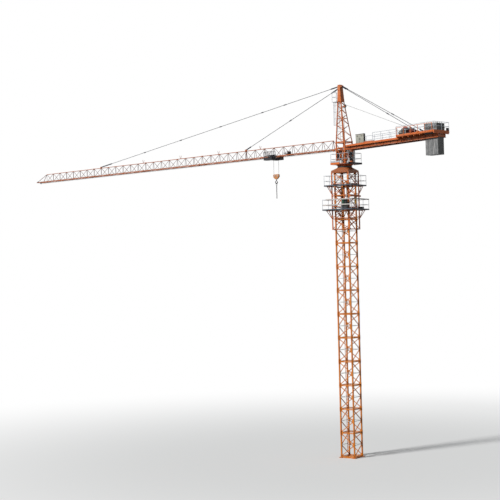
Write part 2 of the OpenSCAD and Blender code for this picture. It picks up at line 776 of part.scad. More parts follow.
module counter_jib_frame() {
    edge = walk_w / 2 - 9;
    wide_edge = wide_w / 2 - 9;
    color(mast_colour) {
        for (s = [-1, 1]) {
            i_beam(-cj_l, cj_start, s * cj_beam_w / 2, cj_z, cj_beam_h, 80, 12);
            for (side = [-1, 1]) block([cj_tie[0], s * cj_tie[1] + side * (tie_plate / 2 + 12),
                cj_deck_z - 6], [150, 14, cj_tie[2] + 46 - cj_deck_z]);
            translate([cj_tie[0], s * cj_tie[1] - 34, cj_tie[2]]) rotate([-90, 0, 0])
                cylinder(h = 68, d = tie_pin_d, $fn = 32);
            block([(cj_start - 150 - wide_start) / 2, s * edge, cj_deck_z - 34],
                [wide_start + cj_start - 150, 18, 98]);
            for (x = [cj_start - 180:-450:-wide_start + 60])
                block([x, s * (cj_beam_w / 2 + edge) / 2, cj_deck_z - 34], [36, edge - cj_beam_w / 2, 30]);
            block([(-wide_start - cj_l) / 2, s * wide_edge, wide_z - 95], [cj_l - wide_start, 18, 115]);
        }
        for (x = [-wide_start - 9, -cj_l + 9]) block([x, 0, wide_z - 95], [18, wide_w - 20, 115]);
        for (x = [cj_start - 200:-900:slabs_start + 40])
            block([x, 0, cj_z + 30], [44, cj_beam_w - 4, 60]);
        for (i = [0:5]) {
            x = cj_start - 200 - i * 900;
            side = i % 2 == 0 ? 1 : -1;
            if (x - 900 > slabs_start) bar([x - 50, -side * (cj_beam_w / 2 - 2), cj_z + 64],
                [x - 850, side * (cj_beam_w / 2 - 2), cj_z + 64], 26);
        }
        for (x = [-wide_start - 40:-360:slabs_start + 60])
            block([x, 0, cj_deck_z - 4], [40, wide_w - 30, wide_raise + 4]);
        block([-cj_l + 32, 0, cj_deck_z - 4], [40, wide_w - 30, wide_raise + 4]);
        block([-cj_l + 32, 0, cj_z + 20], [40, cj_beam_w - 4, 130]);
    }
}

module counter_jib_deck() {
    tight = 38 + 2 * seat_gap;
    color(dark) {
        block([(cj_start - wide_start) / 2 - 5, 0, cj_deck_z + seat_gap],
            [wide_start + cj_start - 14, walk_w - tight, floor_t]);
        difference() {
            block([(-wide_start - cj_l) / 2, 0, wide_z + seat_gap],
                [cj_l - wide_start - tight, wide_w - tight, floor_t]);
            block([(slabs_start + slabs_end) / 2, 0, wide_z - 1],
                [slabs_start - slabs_end + 34, 2 * slab_top + 20, floor_t + 4]);
            for (s = [-1, 1]) block([cj_tie[0], s * cj_tie[1], wide_z - 1], [166, 96, floor_t + 4]);
        }
    }
}

module counter_jib_railings() {
    y = walk_w / 2 - 9;
    wide_y = wide_w / 2 - 9;
    end = -cj_l + 9;
    rail_z = cj_deck_z + 64 + seat_gap;
    wide_rail_z = wide_z + 20 + seat_gap;
    color(steel) {
        railing([[-cabinet_end - 40, y], [-wide_start + 40, y]], rail_z, cj_rail_h);
        railing([[cj_start - 300, -y], [-wide_start + 40, -y]], rail_z, cj_rail_h);
        railing([[-wide_start - 14, wide_y], [end, wide_y], [end, -wide_y], [-wide_start - 14, -wide_y]],
            wide_rail_z, cj_rail_h - 20);
    }
}

module sign_frame() {
    y = wide_w / 2 + 12 + seat_gap;
    z = wide_z - 60;
    first = -wide_start - 60;
    last = -cj_l + 110;
    color(crane_colour) {
        for (level = [0, 430]) bar([first + 20, y, z + level], [last - 20, y, z + level], 22);
        for (i = [0:5]) block([first + (last - first) * i / 5, y, z - 5], [22, 20, 444]);
    }
}

cabinet_x = cj_start - 790 - cabinet_l / 2;
cabinet_end = -cabinet_x + cabinet_l / 2 + 610;

module electric_cabinet() {
    z = cj_deck_z + floor_t + 2 * seat_gap;
    y = 300;
    box_l = 600;
    color([0.70, 0.69, 0.64]) block([cabinet_x, y, z], [cabinet_l, 100, cabinet_h]);
    color(dark) {
        block([cabinet_x, y, z + cabinet_h], [cabinet_l + 24, 120, 24]);
        block([cabinet_x - cabinet_l / 2 - 6, y, z], [24, 112, cabinet_h + 24]);
    }
    color([0.72, 0.30, 0.18]) block([-cabinet_end + box_l / 2, y, z], [box_l - 30, 140, 100]);
}

winch_x = slabs_start + 1260;
winch_z = wide_z + floor_t + 2 * seat_gap;
drum_z = winch_z + 250;
drum_l = 440;

module hoist_winch() {
    color(dark) difference() {
        union() {
            block([winch_x - 110, 0, winch_z], [720, 860, 50]);
            for (y = [-drum_l / 2 - 16, drum_l / 2 + 16]) block([winch_x, y, winch_z + 40], [300, 28, 290]);
            block([winch_x - 30, drum_l / 2 + 110, winch_z + 40], [300, 150, 260]);
        }
        translate([winch_x, -drum_l / 2 - 60, drum_z]) rotate([-90, 0, 0])
            cylinder(h = drum_l + 92, d = 60 + 2 * seat_gap, $fn = 48);
    }
    color([0.62, 0.16, 0.12]) translate([winch_x - 320, -drum_l / 2, winch_z + 50 + 90])
        rotate([-90, 0, 0]) cylinder(h = drum_l, d = 184, $fn = 48);
    color(steel) translate([winch_x + 118, drum_l / 2 + 110, winch_z + 50 + 70]) rotate([0, 90, 0])
        cylinder(h = 170, d = 144, $fn = 48);
}

module hoist_drum() {
    color([0.62, 0.16, 0.12]) translate([winch_x, -drum_l / 2 - 40, drum_z]) rotate([-90, 0, 0]) {
        cylinder(h = drum_l + 70, d = 60, $fn = 48);
        translate([0, 0, 40 + seat_gap + 0.7]) cylinder(h = drum_l - 2, d = 230, $fn = 48);
        for (y = [41, drum_l + 23]) translate([0, 0, y]) cylinder(h = 16, d = 330, $fn = 48);
    }
}

// The hoist rope, from the sheave behind the tower head down to the drum
module hoist_rope() {
    drum = raised_point([winch_x, 0, drum_z]);
    way = drum - head_sheave;
    drum_r = 115 + rope_d / 2 + seat_gap;
    lean = asin((drum_r - sheave_r) / norm(way));
    turn = atan2(way[2], way[0]) - 90 - lean;
    side = [cos(turn), 0, sin(turn)];
    color(dark) rod(head_sheave + sheave_r * side, drum + drum_r * side, rope_d, 12);
}

slab_half = 240;
slab_top = 320;

module counterweights() {
    top = jib_z + 770;
    low = jib_z - 790;
    color([0.58, 0.57, 0.54]) for (i = [0:slab_n - 1]) {
        x = slabs_start - (i + 1) * slab_step;
        seat = cj_deck_z + (cj_start - x) * tan(cj_rise) + seat_gap;
        translate([x, 0, 0]) rotate([90, 0, 90]) linear_extrude(slab_t)
            polygon([[-slab_half, low], [slab_half, low], [slab_half, seat], [slab_top, seat],
                [slab_top, top], [-slab_top, top], [-slab_top, seat], [-slab_half, seat]]);
    }
}

// Trolley, at its place under the jib

wheel_w = 28;
wheel_y = jib_w / 2 + low_chord / 2 + 5 + wheel_w / 2;
wheel_z = jib_z - low_chord / 2 + ledge_t + wheel_r + seat_gap;
trolley_low = jib_z - 190;
trolley_l = 560;
trolley_side = wheel_y + wheel_w / 2 + 18;
axle_d = 26;

module trolley_winch() {
    x = node_x(4) + panel_l / 2;
    floor_z = jib_z + jib_bar / 2 + seat_gap;
    color(dark) {
        block([x, 0, floor_z], [420, jib_w - low_chord - 20, 16]);
        translate([x, -110, floor_z + 130]) rotate([-90, 0, 0]) cylinder(h = 220, d = 150, $fn = 32);
        for (y = [-120, 110]) block([x, y, floor_z + 10], [120, 12, 130]);
    }
}

// A rope sheave about the Y axis, with a bore for its pin
module sheave(bore_r) {
    groove = sheave_r - rope_d / 2 - 0.4;
    rotate([90, 0, 0]) rotate_extrude($fn = 64) polygon([[bore_r, -24], [34, -24], [40, -12],
        [sheave_r + 12, -14], [groove, -rope_d / 2 - 0.6], [groove, rope_d / 2 + 0.6],
        [sheave_r + 12, 14], [40, 12], [34, 24], [bore_r, 24]]);
}

module trolley_frame() {
    sheave_x = fall_x - sheave_r;
    color(dark) {
        for (s = [-1, 1]) {
            block([trolley_x, s * trolley_side, trolley_low], [trolley_l, 12, wheel_z - trolley_low + 50]);
            for (x = [-1, 1])
                translate([trolley_x + x * 210, s * (wheel_y + 9) - (wheel_w + 24) / 2, wheel_z])
                    rotate([-90, 0, 0]) cylinder(h = wheel_w + 24, d = axle_d, $fn = 32);
        }
        for (x = [-1, 1]) block([trolley_x + x * (trolley_l / 2 - 20), 0, trolley_low],
            [40, 2 * trolley_side, 60]);
        for (y = [-1, 1]) block([trolley_x, y * 30, trolley_low + 10], [trolley_l, 10, 110]);
        for (x = [-1, 1]) translate([trolley_x + x * sheave_x, -36, trolley_low + 70])
            rotate([-90, 0, 0]) cylinder(h = 72, d = 30, $fn = 32);
    }
    color(steel) for (x = [-1, 1]) translate([trolley_x + x * sheave_x, 0, trolley_low + 70])
        sheave(15 + seat_gap);
}

module trolley_wheels() {
    color(steel) for (s = [-1, 1], x = [-1, 1])
        translate([trolley_x + x * 210, s * wheel_y - wheel_w / 2, wheel_z]) rotate([-90, 0, 0])
            difference() {
                cylinder(h = wheel_w, r = wheel_r, $fn = 48);
                translate([0, 0, -1]) cylinder(h = wheel_w + 2, d = axle_d + 2 * seat_gap, $fn = 32);
            }
}

basket_l = 620;
basket_w = 330;

module maintenance_basket() {
    x = trolley_x + 20;
    y = trolley_side + 6 + basket_w / 2;
    z = trolley_low - 30;
    color(dark) {
        block([x, y, z], [basket_l, basket_w, 12]);
        for (end = [-1, 1]) block([x + end * 200, trolley_side + 6 + seat_gap + 6, z], [40, 12, 160]);
        railing([[x - basket_l / 2 + 12, trolley_side + 18], [x - basket_l / 2 + 12, y + basket_w / 2 - 12],
            [x + basket_l / 2 - 12, y + basket_w / 2 - 12], [x + basket_l / 2 - 12, trolley_side + 18]],
            z, 470, 300);
    }
}

trolley_ref = [trolley_x, 0, trolley_low + 70];
block_z = trolley_ref[2] - fall_h;

module rope_falls() {
    color(dark) for (x = [-1, 1])
        translate([trolley_ref[0] + x * fall_x, 0, block_z]) cylinder(h = fall_h, d = rope_d, $fn = 12);
}

// Hook block: two sheaves between cheek plates that narrow to the hook's crosshead

cheek_gap = 62;

module hook_block() {
    c = fall_x - sheave_r;
    reach = fall_x + 26;
    x = trolley_ref[0];
    color([0.80, 0.42, 0.14]) for (s = [-1, 1])
        translate([x, s * (cheek_gap / 2 + 4) + 4, block_z]) rotate([90, 0, 0]) linear_extrude(8)
            polygon([[-reach, 40], [-reach + 30, 92], [reach - 30, 92], [reach, 40], [reach, -50],
                [70, -180], [-70, -180], [-reach, -50]]);
    color(steel) for (s = [-1, 1]) translate([x + s * c, -cheek_gap / 2 - 12, block_z])
        rotate([-90, 0, 0]) cylinder(h = cheek_gap + 24, d = 30, $fn = 32);
    color(dark) difference() {
        block([x, 0, cross_z], [120, cheek_gap, cross_h]);
        translate([x, 0, cross_z - 1]) cylinder(h = cross_h + 2, d = shank_d + 2 * seat_gap, $fn = 32);
    }
}

module block_sheaves() {
    c = fall_x - sheave_r;
    color([0.45, 0.13, 0.10]) for (s = [-1, 1]) translate([trolley_ref[0] + s * c, 0, block_z])
        sheave(15 + seat_gap);
}

shank_d = 40;
cross_h = 50;
cross_z = block_z - 175;
hook_r = 75;
hook_wire = 44;
hook_z = cross_z - 170;

module lifting_hook() {
    color(dark) translate([trolley_ref[0], 0, 0]) {
        translate([0, 0, hook_z + hook_r]) cylinder(h = cross_z + cross_h + 30 - hook_z - hook_r, d = shank_d,
            $fn = 32);
        translate([0, 0, cross_z + cross_h + seat_gap]) cylinder(h = 24, d = 58, $fn = 6);
        translate([0, 0, hook_z + hook_r + 18]) cylinder(h = 40, d1 = 52, d2 = shank_d + 8, $fn = 32);
        translate([0, 0, hook_z]) rotate([90, 0, 0]) rotate(-200)
            rotate_extrude(angle = 290, $fn = 48) translate([hook_r, 0]) circle(d = hook_wire, $fn = 24);
    }
}

// Chain sling: a master ring in the hook and links that each pass through the next

module link(length, wide, wire) {
    half = length / 2 - wide / 2;
    for (end = [0, 180]) rotate([0, end, 0]) translate([0, 0, half]) rotate([90, 0, 0])
        rotate_extrude(angle = 180, $fn = 48) translate([wide / 2, 0]) circle(d = wire, $fn = 16);
    for (x = [-1, 1]) translate([x * wide / 2, 0, -half]) cylinder(h = 2 * half, d = wire, $fn = 16);
}

ring_wire = 20;
ring_in = 110;

module chain_sling() {
    bowl = hook_z - hook_r + hook_wire / 2;
    ring_c = bowl + ring_wire / 2 + 0.4 - (ring_in + ring_wire) / 2;
    pitch = link_in - 0.4;
    first = ring_c - (ring_in + ring_wire) / 2 + (ring_wire + link_wire) / 2 + 0.4
        - (link_in + link_wire) / 2;
    color(dark) translate([trolley_ref[0], 0, 0]) {
        translate([0, 0, ring_c]) rotate(90) link(ring_in + ring_wire, 80, ring_wire);
        for (i = [0:link_n - 1]) translate([0, 0, first - i * pitch]) rotate(i % 2 == 0 ? 0 : 90)
            link(link_in + link_wire, 44, link_wire);
    }
}

turned() base_frame();
turned() mast_section(1);  // mast_section_1
turned() mast_section(2);  // mast_section_2
turned() mast_section(3);  // mast_section_3
turned() mast_section(4);  // mast_section_4
turned() mast_section(5);  // mast_section_5
turned() mast_section(6);  // mast_section_6
turned() mast_section(7);  // mast_section_7
turned() mast_section(8);  // mast_section_8
turned() mast_section(9);  // mast_section_9
turned() mast_section(10);  // mast_section_10
turned() mast_section(11);  // mast_section_11
turned() mast_section(12);  // mast_section_12
turned() mast_ladder();
turned() climbing_cage();
turned() lower_platform();
turned() upper_platform();
turned() climbing_cylinder();
turned() power_pack();
turned() lower_slewing_seat();
slewing_ring_fixed();
slewing_ring_moving();
upper_slewing_seat();
slewing_platform();
slewing_motors();
slewing_tower();
cabin_shell();
cabin_glass();
tower_head();
head_platform();
jib_section(1);  // jib_section_1
jib_section(2);  // jib_section_2
jib_section(3);  // jib_section_3
jib_section(4);  // jib_section_4
jib_section(5);  // jib_section_5
jib_tie_long();
jib_tie_short();
counter_jib_ties();
raised() counter_jib_frame();
raised() counter_jib_deck();
raised() counter_jib_railings();
raised() sign_frame();
raised() electric_cabinet();
raised() hoist_winch();
raised() hoist_drum();
hoist_rope();
counterweights();
trolley_winch();
trolley_frame();
trolley_wheels();
maintenance_basket();
rope_falls();
hook_block();
block_sheaves();
lifting_hook();
chain_sling();
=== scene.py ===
"""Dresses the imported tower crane: paints, bolts, ropes, gratings, machinery details and the studio."""
import math

import bmesh
import bpy
from mathutils import Matrix, Vector


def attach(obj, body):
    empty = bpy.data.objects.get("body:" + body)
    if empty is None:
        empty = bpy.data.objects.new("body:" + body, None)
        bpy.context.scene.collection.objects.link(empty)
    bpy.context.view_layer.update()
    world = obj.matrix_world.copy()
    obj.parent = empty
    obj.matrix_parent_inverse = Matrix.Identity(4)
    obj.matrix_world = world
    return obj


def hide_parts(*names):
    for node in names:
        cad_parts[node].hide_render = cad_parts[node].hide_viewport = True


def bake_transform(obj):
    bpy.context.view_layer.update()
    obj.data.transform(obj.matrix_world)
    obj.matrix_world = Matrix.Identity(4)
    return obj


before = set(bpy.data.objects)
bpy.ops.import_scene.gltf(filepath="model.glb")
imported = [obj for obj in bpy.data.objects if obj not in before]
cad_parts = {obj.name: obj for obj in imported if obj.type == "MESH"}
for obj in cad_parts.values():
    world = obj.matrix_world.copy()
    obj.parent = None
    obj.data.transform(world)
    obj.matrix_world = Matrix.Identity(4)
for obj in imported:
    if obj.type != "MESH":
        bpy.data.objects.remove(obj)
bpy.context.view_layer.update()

bl_info = {
    "name": "Tower crane dressing",
    "version": (1, 0, 0),
    "blender": (4, 5, 0),
    "location": "3D View > Sidebar > Crane",
    "description": "Adds paints, bolts, ropes and machinery details to a packed tower crane",
    "category": "Object",
}

SIDES = (-1, 1)
CORNERS = [(x, y) for x in SIDES for y in SIDES]
UP = (0, 0, 1)
ALONG = (1, 0, 0)
ACROSS = (0, 1, 0)
UNTURNED = Matrix()
SHARP_ANGLE = math.radians(40)
DEFAULT_SHINE = 0.5


def panel(count):
    """Where the jib is, that many panels from its start."""
    return 0.74 + count * 0.74


# The crane's main levels and lengths, in metres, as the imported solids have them
BASE_H = 0.06
SECTION_H = 1.25
SECTIONS = 12
MAST_HALF = 0.395
CHORD = 0.066
SLEEVE_HALF = 0.111
MAST_TOP = BASE_H + SECTIONS * SECTION_H
CAGE_Z = MAST_TOP - 3.05
CAGE_HALF = 0.515
LOW_FLOOR, LOW_HALF = CAGE_Z + 1.02, 0.89
TOP_FLOOR, TOP_HALF = CAGE_Z + 2.29, 0.805
RING_Z, RING_R = MAST_TOP + 0.23, 0.375
TOWER_Z = RING_Z + 0.19
TOWER_HALF = 0.295
HEAD_TOP = TOWER_Z + 1.16 + 3.065
NECK_H = 0.9
NECK_Z = HEAD_TOP - NECK_H
NECK_SIDES = (0.03, 0.284, 0.14)         # rear, front and half width over the stiffeners
CROWN_SIDES = (0.11, 0.26, 0.112)
JIB_Z = TOWER_Z + 0.8
JIB_HALF = 0.25
TOP_Z = JIB_Z + 0.5
NOSE_X = panel(35) + 0.8
CJ_START = -0.3233
DECK_Z = JIB_Z + 0.09
WIDE_Z = DECK_Z + 0.15
CJ_L = 6.4
WIDE_START = 4.0
WINCH_X = -4.2996
SLABS = 6
SLAB_STEP = 0.1284
SLABS_START = -CJ_L + 0.07 + SLABS * SLAB_STEP
SLABS_END = SLABS_START - SLABS * SLAB_STEP
TROLLEY_X = 5.05
TROLLEY_LOW = JIB_Z - 0.19
SHEAVE_X, SHEAVE_Z, SHEAVE_R = 0.11, TROLLEY_LOW + 0.07, 0.08
BLOCK_Z = SHEAVE_Z - 0.96
HOIST_Z = SHEAVE_Z + SHEAVE_R            # the hoist rope's run along the jib
ROOT_SHEAVE_X = 0.62
NOSE_SHEAVE_X = NOSE_X - 0.12
DRUM_X, DRUM_Z = panel(4.5), JIB_Z + 0.1403
TRAVEL_Z, RETURN_Z = JIB_Z - 0.085, JIB_Z + 0.0653
LOOP_R = (RETURN_Z - TRAVEL_Z) / 2
HEAD_ROPE_X = -0.125 + SHEAVE_R
TIE_TOP = Vector((0.32, 0, HEAD_TOP - 0.085))
CABIN_X, CABIN_Y, CABIN_Z = 0.4, -0.578, TOWER_Z + 0.0403
CABIN_L, CABIN_W, CABIN_H = 0.9, 0.45, 0.88

# The mast stands turned under the upper crane, and the counter-jib rises towards its end
TURNED = Matrix.Rotation(math.radians(10), 4, "Z")
RAISED = (Matrix.Translation((CJ_START, 0, DECK_Z)) @ Matrix.Rotation(math.radians(1.4), 4, "Y")
          @ Matrix.Translation((-CJ_START, 0, -DECK_Z)))

# The bodies that pieces ride on, each with the place that its pieces are given
MAST, UPPER, COUNTER = ("mast", TURNED), ("upper_crane", None), ("upper_crane", RAISED)
TROLLEY, BLOCK, HOOK = ("trolley", None), ("hook_block", None), ("hook", None)


def colour_prop(label, about, value):
    return bpy.props.FloatVectorProperty(name=label, description=about, default=value, size=3,
                                         min=0, max=1, subtype="COLOR")


def length_prop(label, about, value):
    return bpy.props.FloatProperty(name=label, description=about, default=value, min=0.001,
                                   unit="LENGTH", subtype="DISTANCE")


def share_prop(label, about, value):
    return bpy.props.FloatProperty(name=label, description=about, default=value, min=0, max=1,
                                   subtype="FACTOR")


class CranePaint(bpy.types.PropertyGroup):
    """Colours and wear of the crane's finishes"""
    mast: colour_prop("Mast", "Paint of the mast sections", (0.62, 0.18, 0.012))
    upper: colour_prop("Upper crane", "Paint of the jib, tower head and cage", (0.55, 0.135, 0.028))
    counter: colour_prop("Counter-jib", "Paint of the counter-jib's beams", (0.58, 0.125, 0.022))
    galvanised: colour_prop("Galvanised", "Zinc of the railings and ladders", (0.44, 0.47, 0.51))
    dark: colour_prop("Dark steel", "Dark paint of machinery and floors", (0.024, 0.026, 0.032))
    tie: colour_prop("Ties", "Blue-black paint of the tie bars", (0.011, 0.016, 0.028))
    concrete: colour_prop("Concrete", "Ballast slabs", (0.17, 0.172, 0.172))
    cabinet: colour_prop("Cabinet", "Beige-grey of the electric cabinet", (0.34, 0.34, 0.29))
    cabin: colour_prop("Cabin", "Shell of the operator's cabin", (0.66, 0.68, 0.68))
    hook_block: colour_prop("Hook block", "Warning paint of the hook block", (0.52, 0.20, 0.055))
    sheave: colour_prop("Sheaves", "Red-brown paint of sheaves and drum", (0.30, 0.035, 0.02))
    motor: colour_prop("Slewing motor", "Paint of the slewing motors", (0.018, 0.024, 0.032))
    green: colour_prop("Machine green", "Paint of the hydraulic unit", (0.03, 0.13, 0.07))
    yellow: colour_prop("Cylinder yellow", "Paint of the climbing cylinder", (0.66, 0.36, 0.03))
    rust: colour_prop("Rust", "Rust at chips and edges", (0.16, 0.055, 0.02))
    dirt: colour_prop("Dirt", "Dust and rain marks", (0.20, 0.16, 0.12))
    wear: share_prop("Wear", "How much of the paint is chipped or streaked", 0.6)
    fade: share_prop("Fade", "How far the paint has faded in the sun", 0.45)


class CraneSizes(bpy.types.PropertyGroup):
    """Sizes of the added pieces"""
    bolt: length_prop("Bolt", "Across-flats size of the structural bolts", 0.026)
    small_bolt: length_prop("Small bolt", "Across-flats size of the small bolts", 0.016)
    rope: length_prop("Rope", "Diameter of the trolley's travel rope", 0.009)
    hoist_rope: length_prop("Hoist rope", "Diameter of the hoist rope", 0.014)
    cable: length_prop("Cable", "Diameter of the electric cables", 0.024)
    mesh_pitch: length_prop("Grating pitch", "Spacing of the gratings' bars", 0.03)


# Mesh helpers


def aim(direction):
    """A rotation that turns +Z onto the direction."""
    return Vector(direction).to_track_quat("Z", "Y").to_matrix().to_4x4()


def spins(count, axis=UP):
    """The rotations that repeat a shape round an axis."""
    return [Matrix.Rotation(math.tau * i / count, 4, Vector(axis)) for i in range(count)]


def origin(*zero):
    """A function that gives a point by its distances from zero."""
    return lambda x, y, z: Vector(zero) + Vector((x, y, z))


def taper(bm, a, b, r1, r2, sides=16):
    a, b = Vector(a), Vector(b)
    bmesh.ops.create_cone(bm, cap_ends=True, cap_tris=False, segments=sides, radius1=r1, radius2=r2,
                          depth=(b - a).length, matrix=Matrix.Translation((a + b) / 2) @ aim(b - a))


def rod(bm, a, b, radius, sides=10):
    taper(bm, a, b, radius, radius, sides)


def ball(bm, centre, radius):
    bmesh.ops.create_icosphere(bm, subdivisions=2, radius=radius, matrix=Matrix.Translation(centre))


def block(bm, centre, size, ease=0.0, turn=UNTURNED):
    """A box about its centre, with its edges rounded where ease isn't zero."""
    matrix = Matrix.Translation(centre) @ turn @ Matrix.Diagonal((*size, 1))
    made = bmesh.ops.create_cube(bm, size=1, matrix=matrix)
    if ease:
        edges = {e for v in made["verts"] for e in v.link_edges}
        bmesh.ops.bevel(bm, geom=list(edges), offset=ease, segments=2, profile=0.5,
                        affect="EDGES", material=-1)


def strut(bm, a, b, wide, deep):
    """A bar of rectangular section, wide across and deep in the vertical plane."""
    block(bm, (a + b) / 2, (wide, deep, (b - a).length), turn=aim(b - a))


def fins(bm, centre, out, size, count, axis=UP):
    """A ring of equal blocks round an axis, the first one out from the centre."""
    for spin in spins(count, axis):
        block(bm, Vector(centre) + spin @ Vector(out), size, turn=spin)


def bolt(bm, at, axis, across, grip=0.0):
    """A hexagon head with its washer and, where grip isn't zero, the nut and bolt end past it."""
    at, way = Vector(at), Vector(axis).normalized() * across
    r = across / math.sqrt(3)
    rod(bm, at, at + way * 0.12, r * 1.3, 12)
    rod(bm, at + way * 0.1, at + way * 0.7, r, 6)
    if grip:
        far = at - way * (grip / across)
        rod(bm, far, far - way * 0.12, r * 1.3, 12)
        rod(bm, far - way * 0.1, far - way * 0.85, r, 6)
        rod(bm, far - way * 0.8, far - way * 1.3, r * 0.55, 8)


def bolt_ring(bm, centre, axis, radius, count, across):
    for spin in spins(count, axis):
        bolt(bm, Vector(centre) + spin @ Vector((radius, 0, 0)), axis, across)


def tube_path(bm, points, radius, sides=10):
    """A round tube along a path, swept as joined cones with a ball at each bend."""
    for a, b in zip(points, points[1:]):
        rod(bm, a, b, radius, sides)
    for p in points[1:-1]:
        ball(bm, p, radius)


def arc(centre, radius, first, last, steps=12):
    """Points of an arc in the upright plane along the jib, from one angle to another in degrees."""
    turns = [math.radians(first + (last - first) * i / steps) for i in range(steps + 1)]
    return [Vector(centre) + Vector((math.cos(t), 0, math.sin(t))) * radius for t in turns]


def wheel(bm, centre, axis, profile, steps=32):
    """A solid of revolution about an axis through centre: profile is pairs of radius and height."""
    verts = [bm.verts.new((r, 0, h)) for r, h in profile]
    edges = [bm.edges.new(pair) for pair in zip(verts, verts[1:] + verts[:1])]
    spun = bmesh.ops.spin(bm, geom=verts + edges, cent=(0, 0, 0), axis=UP, dvec=(0, 0, 0),
                          angle=math.tau, steps=steps, use_merge=True, use_duplicate=False)
    made = {v for v in spun["geom_last"] if isinstance(v, bmesh.types.BMVert)} | set(verts)
    reached = set(made)
    while made:
        made = {e.other_vert(v) for v in made for e in v.link_edges} - reached
        reached |= made
    bmesh.ops.transform(bm, matrix=Matrix.Translation(centre) @ aim(axis), verts=list(reached))


def washer(bm, centre, axis, inner, outer, thick, steps=32):
    """A flat ring that stands on its centre."""
    wheel(bm, centre, axis, [(inner, 0), (outer, 0), (outer, thick), (inner, thick)], steps)


def made_object(name, bm, material, smooth=True):
    """Ends a mesh, its normals outwards, with its material."""
    bmesh.ops.recalc_face_normals(bm, faces=bm.faces)
    mesh = bpy.data.meshes.new(name)
    bm.to_mesh(mesh)
    bm.free()
    if smooth:
        mesh.shade_smooth()
        mesh.set_sharp_from_angle(angle=SHARP_ANGLE)
    mesh.materials.append(finish(material))
    piece = bpy.data.objects.new(name, mesh)
    bpy.context.scene.collection.objects.link(piece)
    return piece


def put(name, bm, where, material, smooth=True):
    """Ends a piece that rides on one body, its mesh in place."""
    body, place = where
    if place is not None:
        bmesh.ops.transform(bm, matrix=place, verts=bm.verts)
    piece = made_object(name, bm, material, smooth)
    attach(piece, body)


# Material helpers


def feed(tree, value, socket):
    """Gives a socket a value, or a link from another socket or from a node's first output."""
    if isinstance(value, bpy.types.Node):
        value = value.outputs[0]
    if isinstance(value, bpy.types.NodeSocket):
        tree.links.new(value, socket)
    elif socket.type == "RGBA":
        socket.default_value = (*value, 1)
    else:
        socket.default_value = value


def add_node(tree, kind, inputs=None, **settings):
    """A new node with its settings, and what its inputs are fed with."""
    node = tree.nodes.new(kind)
    for key, value in settings.items():
        setattr(node, key, value)
    for key, value in (inputs or {}).items():
        feed(tree, value, node.inputs[key])
    return node


def mixed(tree, share, a, b):
    """A colour between two others."""
    node = add_node(tree, "ShaderNodeMix", {"Factor": share, "A": a, "B": b}, data_type="RGBA")
    return next(o for o in node.outputs if o.type == "RGBA")


